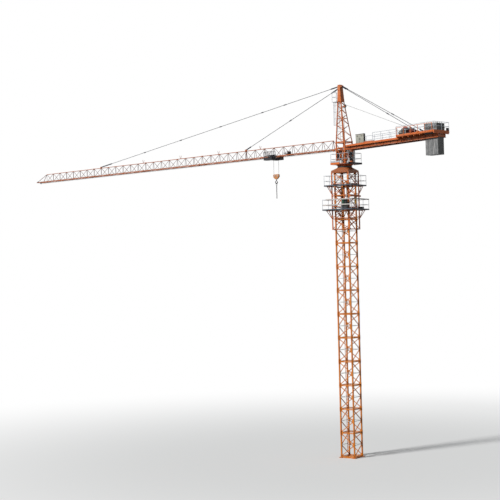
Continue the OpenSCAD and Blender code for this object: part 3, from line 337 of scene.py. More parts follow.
class Finish:
    """Builds one node material from patterns on the object's own coordinates, levelled from their place."""

    def __init__(self, name, place=None, shine=DEFAULT_SHINE):
        self.paint = bpy.context.scene.crane_paint
        self.material = bpy.data.materials.new(name)
        self.material.use_nodes = True
        self.tree = self.material.node_tree
        self.tree.nodes.clear()
        self.shader = self.add("ShaderNodeBsdfPrincipled", {"Specular IOR Level": shine})
        self.add("ShaderNodeOutputMaterial", {"Surface": self.shader})
        self.coords = self.add("ShaderNodeTexCoord").outputs["Object"]
        if place is not None:
            level = place.inverted()
            self.coords = self.add("ShaderNodeMapping", {
                "Vector": self.coords, "Rotation": level.to_euler(), "Location": level.translation}).outputs[0]
        split = self.add("ShaderNodeSeparateXYZ", {"Vector": self.coords})
        self.axes = {axis: split.outputs[axis.upper()] for axis in "xyz"}

    def add(self, kind, inputs=None, **settings):
        return add_node(self.tree, kind, inputs, **settings)

    def maths(self, operation, a, b=0.0):
        return self.add("ShaderNodeMath", {0: a, 1: b}, operation=operation).outputs[0]

    def times(self, a, b):
        return self.maths("MULTIPLY", a, b)

    def noise(self, scale, detail=3.0, stretch=(1, 1, 1), roughness=0.55):
        mapping = self.add("ShaderNodeMapping", {"Scale": stretch, "Vector": self.coords})
        return self.add("ShaderNodeTexNoise", {"Vector": mapping, "Scale": scale, "Detail": detail,
                                               "Roughness": roughness}).outputs["Fac"]

    def cells(self, scale):
        return self.add("ShaderNodeTexVoronoi", {"Vector": self.coords, "Scale": scale}).outputs["Distance"]

    def span(self, value, low, high, to_low=0.0, to_high=1.0):
        return self.add("ShaderNodeMapRange", {"Value": value, "From Min": low, "From Max": high,
                                               "To Min": to_low, "To Max": to_high}).outputs["Result"]

    def spots(self, scale, detail, low, high, stretch=(1, 1, 1), roughness=0.55, most=1.0):
        """Noise, from 0 where it is low to the most where it is high."""
        return self.span(self.noise(scale, detail, stretch, roughness), low, high, 0, most)

    def rough(self, scale, low, high, detail=3):
        """A value that wanders between two."""
        return self.span(self.noise(scale, detail), 0.3, 0.7, low, high)

    def mix(self, share, a, b):
        return mixed(self.tree, share, a, b)

    def layer(self, colour, where, share, over):
        """The colour with another over it, where the pattern is, by a share."""
        return self.mix(self.times(where, share), colour, over)

    def rusted(self, colour, scale, low, high):
        return self.layer(colour, self.spots(scale, 5, low, high, roughness=0.7), self.paint.wear, self.paint.rust)

    def within(self, *limits):
        """1 where each named axis lies between its limits, else 0."""
        share = None
        for axis, low, high in limits:
            inside = self.times(self.maths("GREATER_THAN", self.axes[axis], low),
                                self.maths("LESS_THAN", self.axes[axis], high))
            share = inside if share is None else self.times(share, inside)
        return share

    def grid(self, pitch, x_share, y_share):
        """1 on the bars of a grating, 0 in its gaps."""
        return self.maths("MAXIMUM", *(
            self.maths("LESS_THAN", self.maths("FRACT", self.maths("DIVIDE", self.axes[axis], pitch)), share)
            for axis, share in (("x", x_share), ("y", y_share))))

    def bump(self, height, strength, distance):
        node = self.add("ShaderNodeBump", {"Strength": strength, "Distance": distance, "Height": height})
        feed(self.tree, node.outputs["Normal"], self.shader.inputs["Normal"])

    def done(self, colour, roughness, metallic=0.0):
        for key, value in (("Base Color", colour), ("Roughness", roughness), ("Metallic", metallic)):
            feed(self.tree, value, self.shader.inputs[key])
        return self.material

    def weather(self, colour, metal, scales, drip, fade, pale, patch, deep, dust, chips, flake_low, rough):
        """Ends a paint with faded and dark patches, rain marks, and chips that show rust."""
        wide, small, flake, grain, fine = scales
        colour = self.layer(colour, self.spots(wide, 3, 0.38, 0.66), fade, self.mix(0.22, colour, pale))
        dark = self.mix(deep, colour, (0.05, 0.02, 0.01))
        colour = self.layer(colour, self.spots(small, 4, 0.45, 0.75), patch, dark)
        colour = self.layer(colour, self.spots(1, 4, 0.56, 0.72, drip), dust, self.paint.dirt)
        flakes = self.spots(flake, 5, flake_low, 0.70, roughness=0.7)
        colour = self.layer(colour, flakes, chips, self.paint.rust)
        self.bump(self.maths("SUBTRACT", self.noise(fine, 2), self.times(flakes, 1.4)), 0.25, 0.0009)
        return self.done(colour, self.maths("ADD", self.rough(grain, *rough), self.times(flakes, 0.25)), metal)


def scaled(colour, by):
    return tuple(min(1.0, c * by) for c in colour)


def weathered(name, base, zones=(), place=None, gloss=0.45, chips=1.0, chalking=1.0, shine=0.28):
    """Weathered paint. Each zone is its limits, its colour and, where it isn't paint, its metal share."""
    f = Finish(name, place, shine)
    colour, metal = base, 0.0
    for limits, over, *metal_share in zones:
        inside = f.within(*limits)
        colour = f.mix(inside, colour, over)
        for share in metal_share:
            metal = f.maths("MAXIMUM", metal, f.times(inside, share))
    wear = f.paint.wear
    return f.weather(colour, metal, scales=(1.7, 9, 46, 24, 260), drip=(34, 34, 1.4), fade=f.paint.fade * chalking,
                     pale=(0.62, 0.46, 0.34), patch=0.55, deep=0.30, dust=wear * 0.45 * (0.3 + 0.7 * chalking),
                     chips=wear * chips, flake_low=0.66 - 0.03 * chips, rough=(gloss - 0.1, gloss + 0.14))


def mast_paint(name):
    """The mast's orange, with its thin half-height horizontals left in pale zinc."""
    f = Finish(name, TURNED, 0.28)
    level = f.maths("FRACT", f.maths("DIVIDE", f.maths("SUBTRACT", f.axes["z"], BASE_H), SECTION_H))
    thin = f.maths("LESS_THAN", f.maths("ABSOLUTE", f.maths("SUBTRACT", level, 0.5)), 0.0125)
    on_side = f.maths("MAXIMUM", f.within(("x", -0.27, 0.345), ("y", -0.5, 0.5)),
                      f.within(("y", -0.27, 0.345), ("x", -0.5, 0.5)))
    colour = f.layer(f.paint.mast, thin, on_side, (0.50, 0.50, 0.48))
    wear = f.paint.wear
    return f.weather(colour, 0.0, scales=(1.3, 8, 40, 22, 240), drip=(30, 30, 1.2), fade=f.paint.fade * 0.8,
                     pale=(0.66, 0.42, 0.24), patch=0.5, deep=0.34, dust=wear * 0.5, chips=wear,
                     flake_low=0.63, rough=(0.36, 0.60))


def galvanised(name):
    """Zinc with its crystal flowers, dulled by rain."""
    f = Finish(name)
    zinc = f.paint.galvanised
    colour = f.mix(f.span(f.cells(60), 0.0, 0.6), scaled(zinc, 1.12), scaled(zinc, 0.82))
    colour = f.mix(f.spots(3, 4, 0.5, 0.75, most=0.5), colour, scaled(zinc, 0.55))
    colour = f.rusted(colour, 30, 0.64, 0.70)
    f.bump(f.noise(180, 2), 0.2, 0.0006)
    return f.done(colour, f.rough(20, 0.38, 0.6), 0.35)


def platform_finish(name, floor_z, place=TURNED, side_plate=None):
    """Grating floors whose gaps are near black as painted shade, under zinc railings, with orange struts below and
    perhaps an orange plate.
    """
    f = Finish(name, place, 0.25)
    zinc, orange = f.paint.galvanised, f.paint.upper
    grid = f.grid(bpy.context.scene.crane_sizes.mesh_pitch, 0.22, 0.22)
    on_floor = f.within(("z", floor_z - 0.002, floor_z + 0.018))
    colour = f.mix(f.spots(12, 4, 0.4, 0.7), scaled(zinc, 1.05), scaled(zinc, 0.7))
    # Near-black gaps in the floor's grating: painted shade through the openings.
    colour = f.mix(on_floor, colour, f.mix(grid, (0.012, 0.012, 0.014), (0.10, 0.11, 0.12)))
    colour = f.mix(f.within(("z", floor_z - 0.6, floor_z - 0.002)), colour, scaled(orange, 0.8))
    colour = f.mix(f.within(("z", floor_z + 0.018, floor_z + 0.066)), colour, (0.055, 0.065, 0.085))
    if side_plate:
        colour = f.mix(f.within(*side_plate), colour, scaled(orange, 1.05))
    colour = f.rusted(colour, 26, 0.62, 0.70)
    f.bump(f.maths("ADD", f.times(grid, on_floor), f.times(f.noise(150, 2), 0.2)), 0.5, 0.003)
    return f.done(colour, f.rough(20, 0.42, 0.65), 0.15)


def grating(name):
    f = Finish(name)
    bars = f.grid(0.034, 0.3, 0.16)
    # The gaps between the bars are near black: painted shade seen through the openings.
    colour = f.rusted(f.mix(bars, (0.010, 0.010, 0.012), (0.11, 0.115, 0.12)), 14, 0.55, 0.66)
    f.bump(f.maths("ADD", bars, f.times(f.noise(160, 2), 0.2)), 0.6, 0.004)
    return f.done(colour, f.rough(20, 0.5, 0.75), 0.2)


def concrete(name):
    """Cast slabs, each with a tone of its own, with chalk and damp running down and pores."""
    f = Finish(name)
    grey = f.paint.concrete
    colour = f.mix(f.spots(5, 6, 0.35, 0.7, roughness=0.65), scaled(grey, 1.25), scaled(grey, 0.70))
    slab = f.maths("FLOOR", f.maths("DIVIDE", f.maths("SUBTRACT", SLABS_START, f.axes["x"]), SLAB_STEP))
    tone = f.span(f.maths("SINE", f.times(slab, 2.4)), -1, 1, 0, 0.6)
    colour = f.mix(tone, colour, f.mix(0.5, colour, scaled(grey, 0.30)))
    colour = f.layer(colour, f.spots(1, 5, 0.50, 0.68, (16, 22, 1.6), 0.65), 0.42, (0.58, 0.56, 0.54))
    colour = f.layer(colour, f.spots(1, 4, 0.55, 0.75, (9, 12, 0.8)), 0.45, (0.12, 0.125, 0.13))
    # The pores are darkened: painted shade in the pits.
    pores = f.span(f.cells(95), 0.05, 0.22)
    colour = f.layer(colour, f.maths("SUBTRACT", 1.0, pores), 0.6, (0.10, 0.10, 0.10))
    f.bump(f.maths("ADD", pores, f.times(f.noise(70, 5), 0.8)), 0.6, 0.003)
    return f.done(colour, f.rough(16, 0.78, 0.95))


def wire_rope(name, axis="z", other="x"):
    """Dark greased rope, whose strands show as slanting bands, with painted shade darkening the grooves between them.
    """
    f = Finish(name, shine=0.15)
    slant = f.maths("ADD", f.times(f.axes[axis], 90.0), f.times(f.axes[other], 220.0))
    strand = f.maths("ABSOLUTE", f.maths("SUBTRACT", f.maths("FRACT", slant), 0.5))
    # The grooves between the strands are darkened: painted shade in the creases.
    groove = f.span(strand, 0.32, 0.5)
    colour = f.mix(groove, (0.085, 0.082, 0.08), (0.015, 0.014, 0.013))
    colour = f.mix(f.spots(9, 4, 0.5, 0.7, most=0.6), colour, (0.10, 0.07, 0.045))
    f.bump(f.maths("SUBTRACT", 1.0, groove), 0.6, 0.002)
    return f.done(colour, f.rough(30, 0.48, 0.66, 2), 0.3)


def steel(name, colour=(0.42, 0.42, 0.43), rough=0.34):
    """Bare machined or zinc-plated steel with fine scratches."""
    f = Finish(name)
    scratches = f.noise(1, 3, (260, 260, 14))
    tone = f.rusted(f.mix(f.spots(14, 4, 0.35, 0.7), colour, scaled(colour, 0.7)), 55, 0.60, 0.68)
    f.bump(scratches, 0.12, 0.0005)
    return f.done(tone, f.span(scratches, 0.3, 0.7, rough - 0.06, rough + 0.16), 0.75)


def glass(name):
    f = Finish(name)
    dust = f.spots(11, 5, 0.45, 0.75)
    for key, value in (("Transmission Weight", 0.55), ("IOR", 1.45)):
        f.shader.inputs[key].default_value = value
    f.bump(f.noise(6, 2), 0.03, 0.002)
    return f.done(f.mix(dust, (0.055, 0.075, 0.09), (0.12, 0.13, 0.13)), f.span(dust, 0, 1, 0.06, 0.26))


def rubber(name, colour=(0.014, 0.014, 0.015)):
    f = Finish(name)
    f.bump(f.noise(120, 3), 0.25, 0.001)
    return f.done(f.mix(f.spots(18, 4, 0.35, 0.7), colour, scaled(colour, 2.2)), f.rough(25, 0.6, 0.85))


# Finishes that aren't weathered paint: what makes each, and how it differs from the usual
MAKERS = {
    "mast_paint": (mast_paint,), "zinc": (galvanised,), "grating": (grating,), "concrete": (concrete,),
    "steel": (steel,), "bolt_steel": (steel, (0.30, 0.29, 0.27), 0.42),
    "gear_steel": (steel, (0.075, 0.072, 0.070), 0.48),
    "wire_rope": (wire_rope,), "long_rope": (wire_rope, "x", "z"),
    "glass": (glass,), "rubber": (rubber,), "seat_cloth": (rubber, (0.03, 0.032, 0.04)),
    "low_platform_paint": (platform_finish, LOW_FLOOR), "top_platform_paint": (platform_finish, TOP_FLOOR),
    "slewing_platform_paint": (platform_finish, TOWER_Z - 0.026, None, [
        ("y", 0.5275, 0.6), ("x", -0.10, 0.54), ("z", TOWER_Z - 0.03, TOWER_Z + 0.08)]),
}
MATERIALS = {}


def weathered_paints():
    """What is said of each weathered paint: its colour, its zones and how it differs from the usual."""
    paint = bpy.context.scene.crane_paint
    upper, dark, zinc, sheave = paint.upper, paint.dark, paint.galvanised, paint.sheave
    on_winch = ("z", WIDE_Z + 0.07, 20)
    return {
        "upper_paint": dict(base=upper),
        # The bracing between the jib's chords is given a dark red-brown: painted shade on bars that carry the chords'
        # orange.
        "jib_paint": dict(base=scaled(upper, 0.74), zones=[
            ([("z", JIB_Z + 0.03, TOP_Z - 0.024)], (0.125, 0.036, 0.024))]),
        # The lower seat's orange is darkened to 0.55: painted shade under the platforms above it.
        "seat_paint": dict(base=scaled(upper, 0.55), place=TURNED),
        "cage_paint": dict(base=upper, place=TURNED),
        "head_paint": dict(base=upper, zones=[
            ([("x", -0.3, -0.032), ("y", -0.0245, 0.0245), ("z", NECK_Z - 0.36, NECK_Z - 0.16)], dark)]),
        # The beams below the deck are darkened to 0.62 of the counter-jib's orange: painted shade under the deck.
        "counter_paint": dict(base=paint.counter, place=RAISED, zones=[
            ([("z", DECK_Z - 0.3, DECK_Z - 0.002), ("y", -0.35, 0.35)], scaled(paint.counter, 0.62))]),
        "dark_paint": dict(base=dark, gloss=0.5, chips=0.8, chalking=0.15, shine=0.18),
        "tie_paint": dict(base=paint.tie, gloss=0.6, chips=0.5, chalking=0.1, shine=0.12),
        "hook_black": dict(base=(0.009, 0.009, 0.011), gloss=0.6, chips=0.8, chalking=0.05, shine=0.12),
        "cabin_paint": dict(base=paint.cabin, gloss=0.36, chips=0.5, zones=[
            ([("z", TOWER_Z - 0.01, CABIN_Z - 0.001)], dark)]),
        "block_paint": dict(base=paint.hook_block, zones=[
            ([("y", -0.0315, 0.0315)], dark),
            ([("y", 0.0395, 0.06)], zinc, 0.7), ([("y", -0.06, -0.0395)], zinc, 0.7)]),
        "sheave_paint": dict(base=sheave, gloss=0.5),
        "drum_paint": dict(base=sheave, gloss=0.4),
        "motor_paint": dict(base=paint.motor, zones=[
            ([("z", TOWER_Z - 0.01, TOWER_Z + 0.150)], upper),
            ([("z", TOWER_Z + 0.410, TOWER_Z + 0.6)], dark)]),
        "green_paint": dict(base=paint.green, place=TURNED, chalking=0.4, zones=[
            ([("z", LOW_FLOOR, LOW_FLOOR + 0.247)], dark)]),
        "board_paint": dict(base=(0.46, 0.42, 0.40), place=TURNED, chips=0.4),
        "yellow_paint": dict(base=upper, place=TURNED, zones=[
            ([("y", -0.06, 0.06), ("z", CAGE_Z + 1.2, CAGE_Z + 1.72)], paint.yellow),
            ([("y", -0.03, 0.03), ("z", CAGE_Z + 1.16, CAGE_Z + 1.335)], zinc, 0.8)]),
        "cabinet_paint": dict(base=paint.cabinet, place=RAISED, gloss=0.42, zones=[
            ([("x", -3.0, -1.70)], (0.36, 0.08, 0.03)),
            ([("z", DECK_Z + 0.5168, DECK_Z + 0.6)], dark),
            ([("x", -1.6830, -1.6633)], dark)]),
        "door_paint": dict(base=paint.cabinet, gloss=0.42),
        "winch_paint": dict(base=dark, place=RAISED, zones=[
            ([("x", WINCH_X - 0.45, WINCH_X - 0.20), on_winch], sheave),
            ([("x", WINCH_X + 0.1205, WINCH_X + 0.4), ("y", 0.2, 0.5), on_winch], (0.42, 0.44, 0.45))]),
    }


def finish(name):
    """The named material, made once."""
    if name not in MATERIALS:
        if name in MAKERS:
            make, *options = MAKERS[name]
            MATERIALS[name] = make(name, *options)
        else:
            MATERIALS[name] = weathered(name, **weathered_paints()[name])
    return MATERIALS[name]


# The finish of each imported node
NODE_FINISH = {
    "mast_paint": "base_frame mast_ladder " + " ".join(f"mast_section_{n + 1}" for n in range(SECTIONS)),
    "cage_paint": "climbing_cage",
    "seat_paint": "lower_slewing_seat",
    "upper_paint": "upper_slewing_seat slewing_tower sign_frame",
    "jib_paint": " ".join(f"jib_section_{n + 1}" for n in range(5)),
    "head_paint": "tower_head",
    "counter_paint": "counter_jib_frame",
    "low_platform_paint": "lower_platform",
    "top_platform_paint": "upper_platform",
    "slewing_platform_paint": "slewing_platform",
    "yellow_paint": "climbing_cylinder",
    "green_paint": "power_pack",
    "dark_paint": "slewing_ring_fixed trolley_winch trolley_frame maintenance_basket",
    "gear_steel": "slewing_ring_moving",
    "steel": "trolley_wheels",
    "motor_paint": "slewing_motors",
    "cabin_paint": "cabin_shell",
    "glass": "cabin_glass",
    "zinc": "head_platform counter_jib_railings",
    "tie_paint": "jib_tie_long jib_tie_short counter_jib_ties",
    "grating": "counter_jib_deck",
    "cabinet_paint": "electric_cabinet",
    "winch_paint": "hoist_winch",
    "drum_paint": "hoist_drum",
    "concrete": "counterweights",
    "long_rope": "hoist_rope",
    "wire_rope": "rope_falls",
    "block_paint": "hook_block",
    "sheave_paint": "block_sheaves",
    "hook_black": "lifting_hook chain_sling",
}


class PieceOperator:
    """What every operator of this file shares."""
    bl_options = {"REGISTER", "UNDO"}

    @property
    def sizes(self):
        return bpy.context.scene.crane_sizes


class CRANE_OT_paint(PieceOperator, bpy.types.Operator):
    """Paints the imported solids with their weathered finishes"""
    bl_idname = "crane.paint"
    bl_label = "Paint the solids"

    def execute(self, context):
        left = set(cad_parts)
        for name, nodes in NODE_FINISH.items():
            for node in nodes.split():
                left.discard(node)
                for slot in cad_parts[node].material_slots:
                    slot.material = finish(name)
        if left:
            raise RuntimeError(f"no finish is stated for {sorted(left)}")
        return {"FINISHED"}


class CRANE_OT_mast_bolts(PieceOperator, bpy.types.Operator):
    """Bolts the mast's sections together at the sleeves on their chords"""
    bl_idname = "crane.mast_bolts"
    bl_label = "Mast bolts"

    def execute(self, context):
        bm = bmesh.new()
        out, along = MAST_HALF + CHORD / 2 + 0.008, MAST_HALF - 0.008
        for level in range(1, SECTIONS):
            z = BASE_H + level * SECTION_H + SLEEVE_HALF
            for spin in spins(4):
                for x, y in ((along, out), (out, along)):
                    bolt(bm, spin @ Vector((x, y, z)), UP, self.sizes.bolt, 2 * SLEEVE_HALF)
        put("mast_bolts", bm, MAST, "bolt_steel")
        return {"FINISHED"}


class CRANE_OT_gusset_bolts(PieceOperator, bpy.types.Operator):
    """Bolts through the gusset plates where the mast's diagonals meet"""
    bl_idname = "crane.gusset_bolts"
    bl_label = "Gusset bolts"

    def execute(self, context):
        bm = bmesh.new()
        for level in range(SECTIONS):
            mid = BASE_H + (level + 0.5) * SECTION_H
            for spin in spins(4):
                for z in (mid - 0.045, mid + 0.045):
                    bolt(bm, spin @ Vector((0.078 - MAST_HALF, MAST_HALF + 0.004, z)), spin @ Vector(ACROSS),
                         self.sizes.small_bolt)
        put("gusset_bolts", bm, MAST, "bolt_steel")
        return {"FINISHED"}


class CRANE_OT_anchors(PieceOperator, bpy.types.Operator):
    """Anchor bolts and their plates on the four feet, at the outer corners of each"""
    bl_idname = "crane.anchors"
    bl_label = "Foot anchors"

    def execute(self, context):
        bm = bmesh.new()
        for x, y in CORNERS:
            for dx, dy in ((x, y), (x, -y), (-x, y)):
                at = origin(x * MAST_HALF + dx * 0.078, y * MAST_HALF + dy * 0.078, 0.02)
                block(bm, at(0, 0, 0.003), (0.044, 0.044, 0.006))
                bolt(bm, at(0, 0, 0.006), UP, self.sizes.bolt)
                rod(bm, at(0, 0, 0), at(0, 0, 0.042), 0.008)
        put("anchor_bolts", bm, MAST, "bolt_steel")
        return {"FINISHED"}


class CRANE_OT_mast_cable(PieceOperator, bpy.types.Operator):
    """The power cable that runs up inside the mast, with its clips"""
    bl_idname = "crane.mast_cable"
    bl_label = "Mast cable"

    def execute(self, context):
        bm = bmesh.new()
        inside = MAST_HALF - CHORD / 2
        x, y = inside - 0.02, 0.03 - inside
        rod(bm, (x, y, BASE_H + 0.02), (x, y, MAST_TOP + 0.005), self.sizes.cable / 2, 12)
        for level in range(2 * SECTIONS):
            z = BASE_H + (level + 0.5) * SECTION_H / 2
            block(bm, (x + 0.005, y - 0.005, z), (0.042, 0.046, 0.02), 0.003)
        put("mast_cable", bm, MAST, "rubber")
        return {"FINISHED"}


class CRANE_OT_cage_parts(PieceOperator, bpy.types.Operator):
    """Guide rollers, a bracket with its tube, pipes, a tool box and the hydraulic unit's motor on the cage"""
    bl_idname = "crane.cage_parts"
    bl_label = "Cage parts"

    def execute(self, context):
        rollers, dark, plates, motor = (bmesh.new() for _ in range(4))
        gap = (CAGE_HALF - 0.025 + MAST_HALF + CHORD / 2) / 2
        for level in (0, 2, 4):
            z = CAGE_Z + 0.026 + level * 0.5996
            for quarter, spin in enumerate(spins(4)):
                if (level, quarter) == (2, 1):
                    continue             # the climbing cylinder's beam is there
                for side in SIDES:
                    at = spin @ Vector((side * (MAST_HALF + 0.004), gap, z))
                    wheel(rollers, at, spin @ Vector(ALONG), [
                        (0.006, -0.016), (0.026, -0.016), (0.029, -0.012),
                        (0.029, 0.012), (0.026, 0.016), (0.006, 0.016)], 20)
                    for end in SIDES:
                        block(dark, at + spin @ Vector((end * 0.024, 0.014, 0)), (0.008, 0.058, 0.08), turn=spin)
        at = origin(0, CAGE_HALF + 0.025, CAGE_Z)
        block(plates, at(-0.24, -0.012, 1.93), (0.06, 0.05, 0.78), 0.004)
        rod(rollers, at(-0.39, -0.012, 1.60), at(-0.39, -0.012, 2.26), 0.022, 20)
        for z in (1.58, 2.28):
            block(plates, at(-0.335, -0.020, z), (0.26, 0.034, 0.05), 0.004)
        at = origin(0, 0, LOW_FLOOR)
        for out, end in ((0.0, 0.37), (0.03, 0.66)):
            z = 0.37 + out
            tube_path(rollers, [at(x - out, y, z) for x, y, z in (
                (-0.43, 0.70, 0.32), (-0.43, 0.70, z), (-0.43, 0.575, z), (-0.56, 0.575, z), (-0.56, 0, z),
                (-0.56, 0, end))], 0.009)
        block(dark, at(-0.62, -0.5, 0.10), (0.24, 0.3, 0.15), 0.008)
        block(dark, at(-0.455, 0.72, 0.455), (0.13, 0.15, 0.23), 0.008)
        for z in (0.40, 0.46, 0.52):
            block(dark, at(-0.455, 0.797, z), (0.10, 0.006, 0.012))
        at = origin(-0.30, 0.72, LOW_FLOOR + 0.416)
        wheel(motor, at(0, 0, 0), UP, [(0.001, 0.0), (0.082, 0.0), (0.086, 0.008), (0.086, 0.15),
                                       (0.074, 0.172), (0.001, 0.176)], 28)
        fins(motor, at(0, 0, -0.085), (0.070, 0, 0), (0.016, 0.005, 0.14), 18)
        block(motor, at(0, 0.088, -0.09), (0.09, 0.05, 0.09), 0.006)
        put("pack_motor", motor, MAST, "green_paint")
        put("cage_rollers", rollers, MAST, "steel")
        put("cage_fittings", dark, MAST, "dark_paint")
        put("cage_plates", plates, MAST, "cage_paint")
        return {"FINISHED"}


class CRANE_OT_platform_trim(PieceOperator, bpy.types.Operator):
    """Railing clamps and feet of the two platforms, and the boards on the lower one's railing"""
    bl_idname = "crane.platform_trim"
    bl_label = "Platform trim"

    def execute(self, context):
        clamps, boards = bmesh.new(), bmesh.new()
        for floor, half in ((LOW_FLOOR, LOW_HALF), (TOP_FLOOR, TOP_HALF)):
            for spin in spins(4):
                for x in (-half, -half / 3, half / 3):
                    for level in (0.28, 0.56):
                        washer(clamps, spin @ Vector((x, half, floor + level - 0.014)), UP, 0.0102, 0.015, 0.028, 12)
                    block(clamps, spin @ Vector((x, half - 0.002, floor + 0.019)), (0.038, 0.038, 0.006), turn=spin)
        out, thick, high = LOW_HALF + 0.018, 0.014, 0.058
        for level, last in ((0.28, 0.87), (0.565, 0.66)):
            block(boards, ((last - LOW_HALF) / 2, out, LOW_FLOOR + level), (last + LOW_HALF, thick, high), 0.003)
        block(boards, (-out, 0, LOW_FLOOR + 0.565), (thick, 2 * LOW_HALF, high), 0.003)
        put("platform_clamps", clamps, MAST, "zinc")
        put("railing_boards", boards, MAST, "board_paint")
        return {"FINISHED"}


class CRANE_OT_slewing_gear(PieceOperator, bpy.types.Operator):
    """The slewing ring's gear teeth and the upper seat's ring of bolts"""
    bl_idname = "crane.slewing_gear"
    bl_label = "Slewing gear"

    def execute(self, context):
        teeth, bolts = bmesh.new(), bmesh.new()
        fins(teeth, (0, 0, RING_Z + 0.034), (RING_R + 0.004, 0, 0), (0.02, 0.012, 0.058), 96)
        bolt_ring(bolts, (0, 0, TOWER_Z), UP, 0.232, 32, self.sizes.small_bolt)
        put("ring_teeth", teeth, ("mast", None), "gear_steel")
        put("seat_bolts", bolts, UPPER, "bolt_steel")
        return {"FINISHED"}


class CRANE_OT_slewing_drives(PieceOperator, bpy.types.Operator):
    """Cooling fins, terminal boxes and hoods of the slewing motors, and the platform's toe boards"""
    bl_idname = "crane.slewing_drives"
    bl_label = "Slewing drives"

    def execute(self, context):
        body, caps, toe = (bmesh.new() for _ in range(3))
        for side in SIDES:
            at = origin(side * (TOWER_HALF + 0.11), side * 0.06, TOWER_Z)
            fins(body, at(0, 0, 0.27), (0.080, 0, 0), (0.026, 0.005, 0.18), 20)
            block(body, at(side * 0.098, 0, 0.3), (0.05, 0.09, 0.10), 0.006)
            wheel(body, at(0, 0, 0), UP, [(0.066, 0.355), (0.094, 0.36), (0.094, 0.385), (0.066, 0.40)])
            wheel(caps, at(0, 0, 0), UP, [(0.001, 0.451), (0.072, 0.452), (0.092, 0.47), (0.094, 0.49),
                                          (0.094, 0.58), (0.078, 0.615), (0.001, 0.625)])
            for i in range(6):
                washer(caps, at(0, 0, 0.621), UP, 0.060 - i * 0.010, 0.063 - i * 0.010, 0.009, 24)
            bolt_ring(caps, at(0, 0, 0.15), UP, 0.077, 8, self.sizes.small_bolt * 0.8)
        # Toe boards along the rear and -Y edges only, in dark paint that is partly their own colour and partly
        # painted shade for these shaded sides.
        rear, edge, end, high = -0.737, 0.547, -0.15, 0.09
        block(toe, (rear, 0, TOWER_Z), (0.010, 2 * edge, high), 0.003)
        block(toe, ((rear + end) / 2, -edge, TOWER_Z), (end - rear, 0.010, high), 0.003)
        put("platform_toe_boards", toe, UPPER, "dark_paint")
        put("motor_fins", body, UPPER, "motor_paint")
        put("motor_caps", caps, UPPER, "dark_paint")
        return {"FINISHED"}


class CRANE_OT_cabin_parts(PieceOperator, bpy.types.Operator):
    """Window seals, visor, roof plate, louvres, door handle, wiper, seat and controls of the cabin"""
    bl_idname = "crane.cabin_parts"
    bl_label = "Cabin parts"

    def execute(self, context):
        seals, shell, inside, seat = (bmesh.new() for _ in range(4))
        at = origin(CABIN_X, CABIN_Y, CABIN_Z)
        front, side_y, rear = CABIN_L / 2, CABIN_W / 2, 0.225 - CABIN_L / 2
        low, high = 0.365, 0.629
        for x, side, z in ((front - 0.191, 1, low), (front - 0.191, 1, high), (front - 0.191, -1, low),
                           (front - 0.191, -1, high), (rear, -1, high)):
            self.seal(seals, at(x, side * (side_y + 0.003), z), 0.33, 0.24)
        self.seal(seals, at(front + 0.003, 0, 0.44), 0.35, 0.70, Matrix.Rotation(math.pi / 2, 4, "Z"))
        block(shell, at(front + 0.05, 0, CABIN_H - 0.03), (0.12, CABIN_W - 0.03, 0.012), 0.004,
              Matrix.Rotation(0.12, 4, "Y"))
        block(shell, at(0, 0, CABIN_H + 0.006), (CABIN_L + 0.03, CABIN_W + 0.03, 0.012), 0.004)
        for i in range(6):
            block(shell, at(-0.33, side_y + 0.004, 0.62 + i * 0.022), (0.16, 0.008, 0.006),
                  turn=Matrix.Rotation(0.5, 4, "X"))
        handle = rear + 0.02
        rod(seals, at(handle, side_y + 0.018, 0.40), at(handle, side_y + 0.018, 0.54), 0.006)
        for z in (0.40, 0.54):
            rod(seals, at(handle, side_y, z), at(handle, side_y + 0.018, z), 0.006)
        strut(seals, at(front + 0.012, -0.02, 0.12), at(front + 0.012, 0.07, 0.4), 0.008, 0.006)
        strut(seals, at(front + 0.016, 0.07, 0.26), at(front + 0.016, 0.07, 0.56), 0.01, 0.005)
        block(seat, at(0.05, 0, 0.30), (0.22, 0.22, 0.06), 0.018)
        block(seat, at(-0.06, 0, 0.46), (0.06, 0.21, 0.3), 0.018, Matrix.Rotation(-0.14, 4, "Y"))
        block(seat, at(-0.085, 0, 0.645), (0.045, 0.12, 0.08), 0.014)
        rod(inside, at(0.05, 0, 0.02), at(0.05, 0, 0.28), 0.04, 16)
        for y in (-0.155, 0.155):
            block(inside, at(0.1, y, 0.33), (0.24, 0.06, 0.10), 0.01)
            rod(inside, at(0.16, y, 0.37), at(0.17, y, 0.45), 0.007)
            ball(inside, at(0.171, y, 0.46), 0.016)
        block(inside, at(0, 0, 0.023), (CABIN_L - 0.05, CABIN_W - 0.05, 0.006))
        put("cabin_seals", seals, UPPER, "rubber")
        put("cabin_trim", shell, UPPER, "cabin_paint")
        put("cabin_controls", inside, UPPER, "dark_paint")
        put("cabin_seat", seat, UPPER, "seat_cloth")
        return {"FINISHED"}

    @staticmethod
    def seal(bm, centre, width, height, turn=UNTURNED):
        """A rubber frame round a window, which faces Y unless it is turned."""
        bar, deep = 0.014, 0.008
        for side in SIDES:
            for x, z, size in ((width / 2, 0, (bar, deep, height + bar)), (0, height / 2, (width + bar, deep, bar))):
                block(bm, centre + turn @ Vector((side * x, 0, side * z)), size, turn=turn)


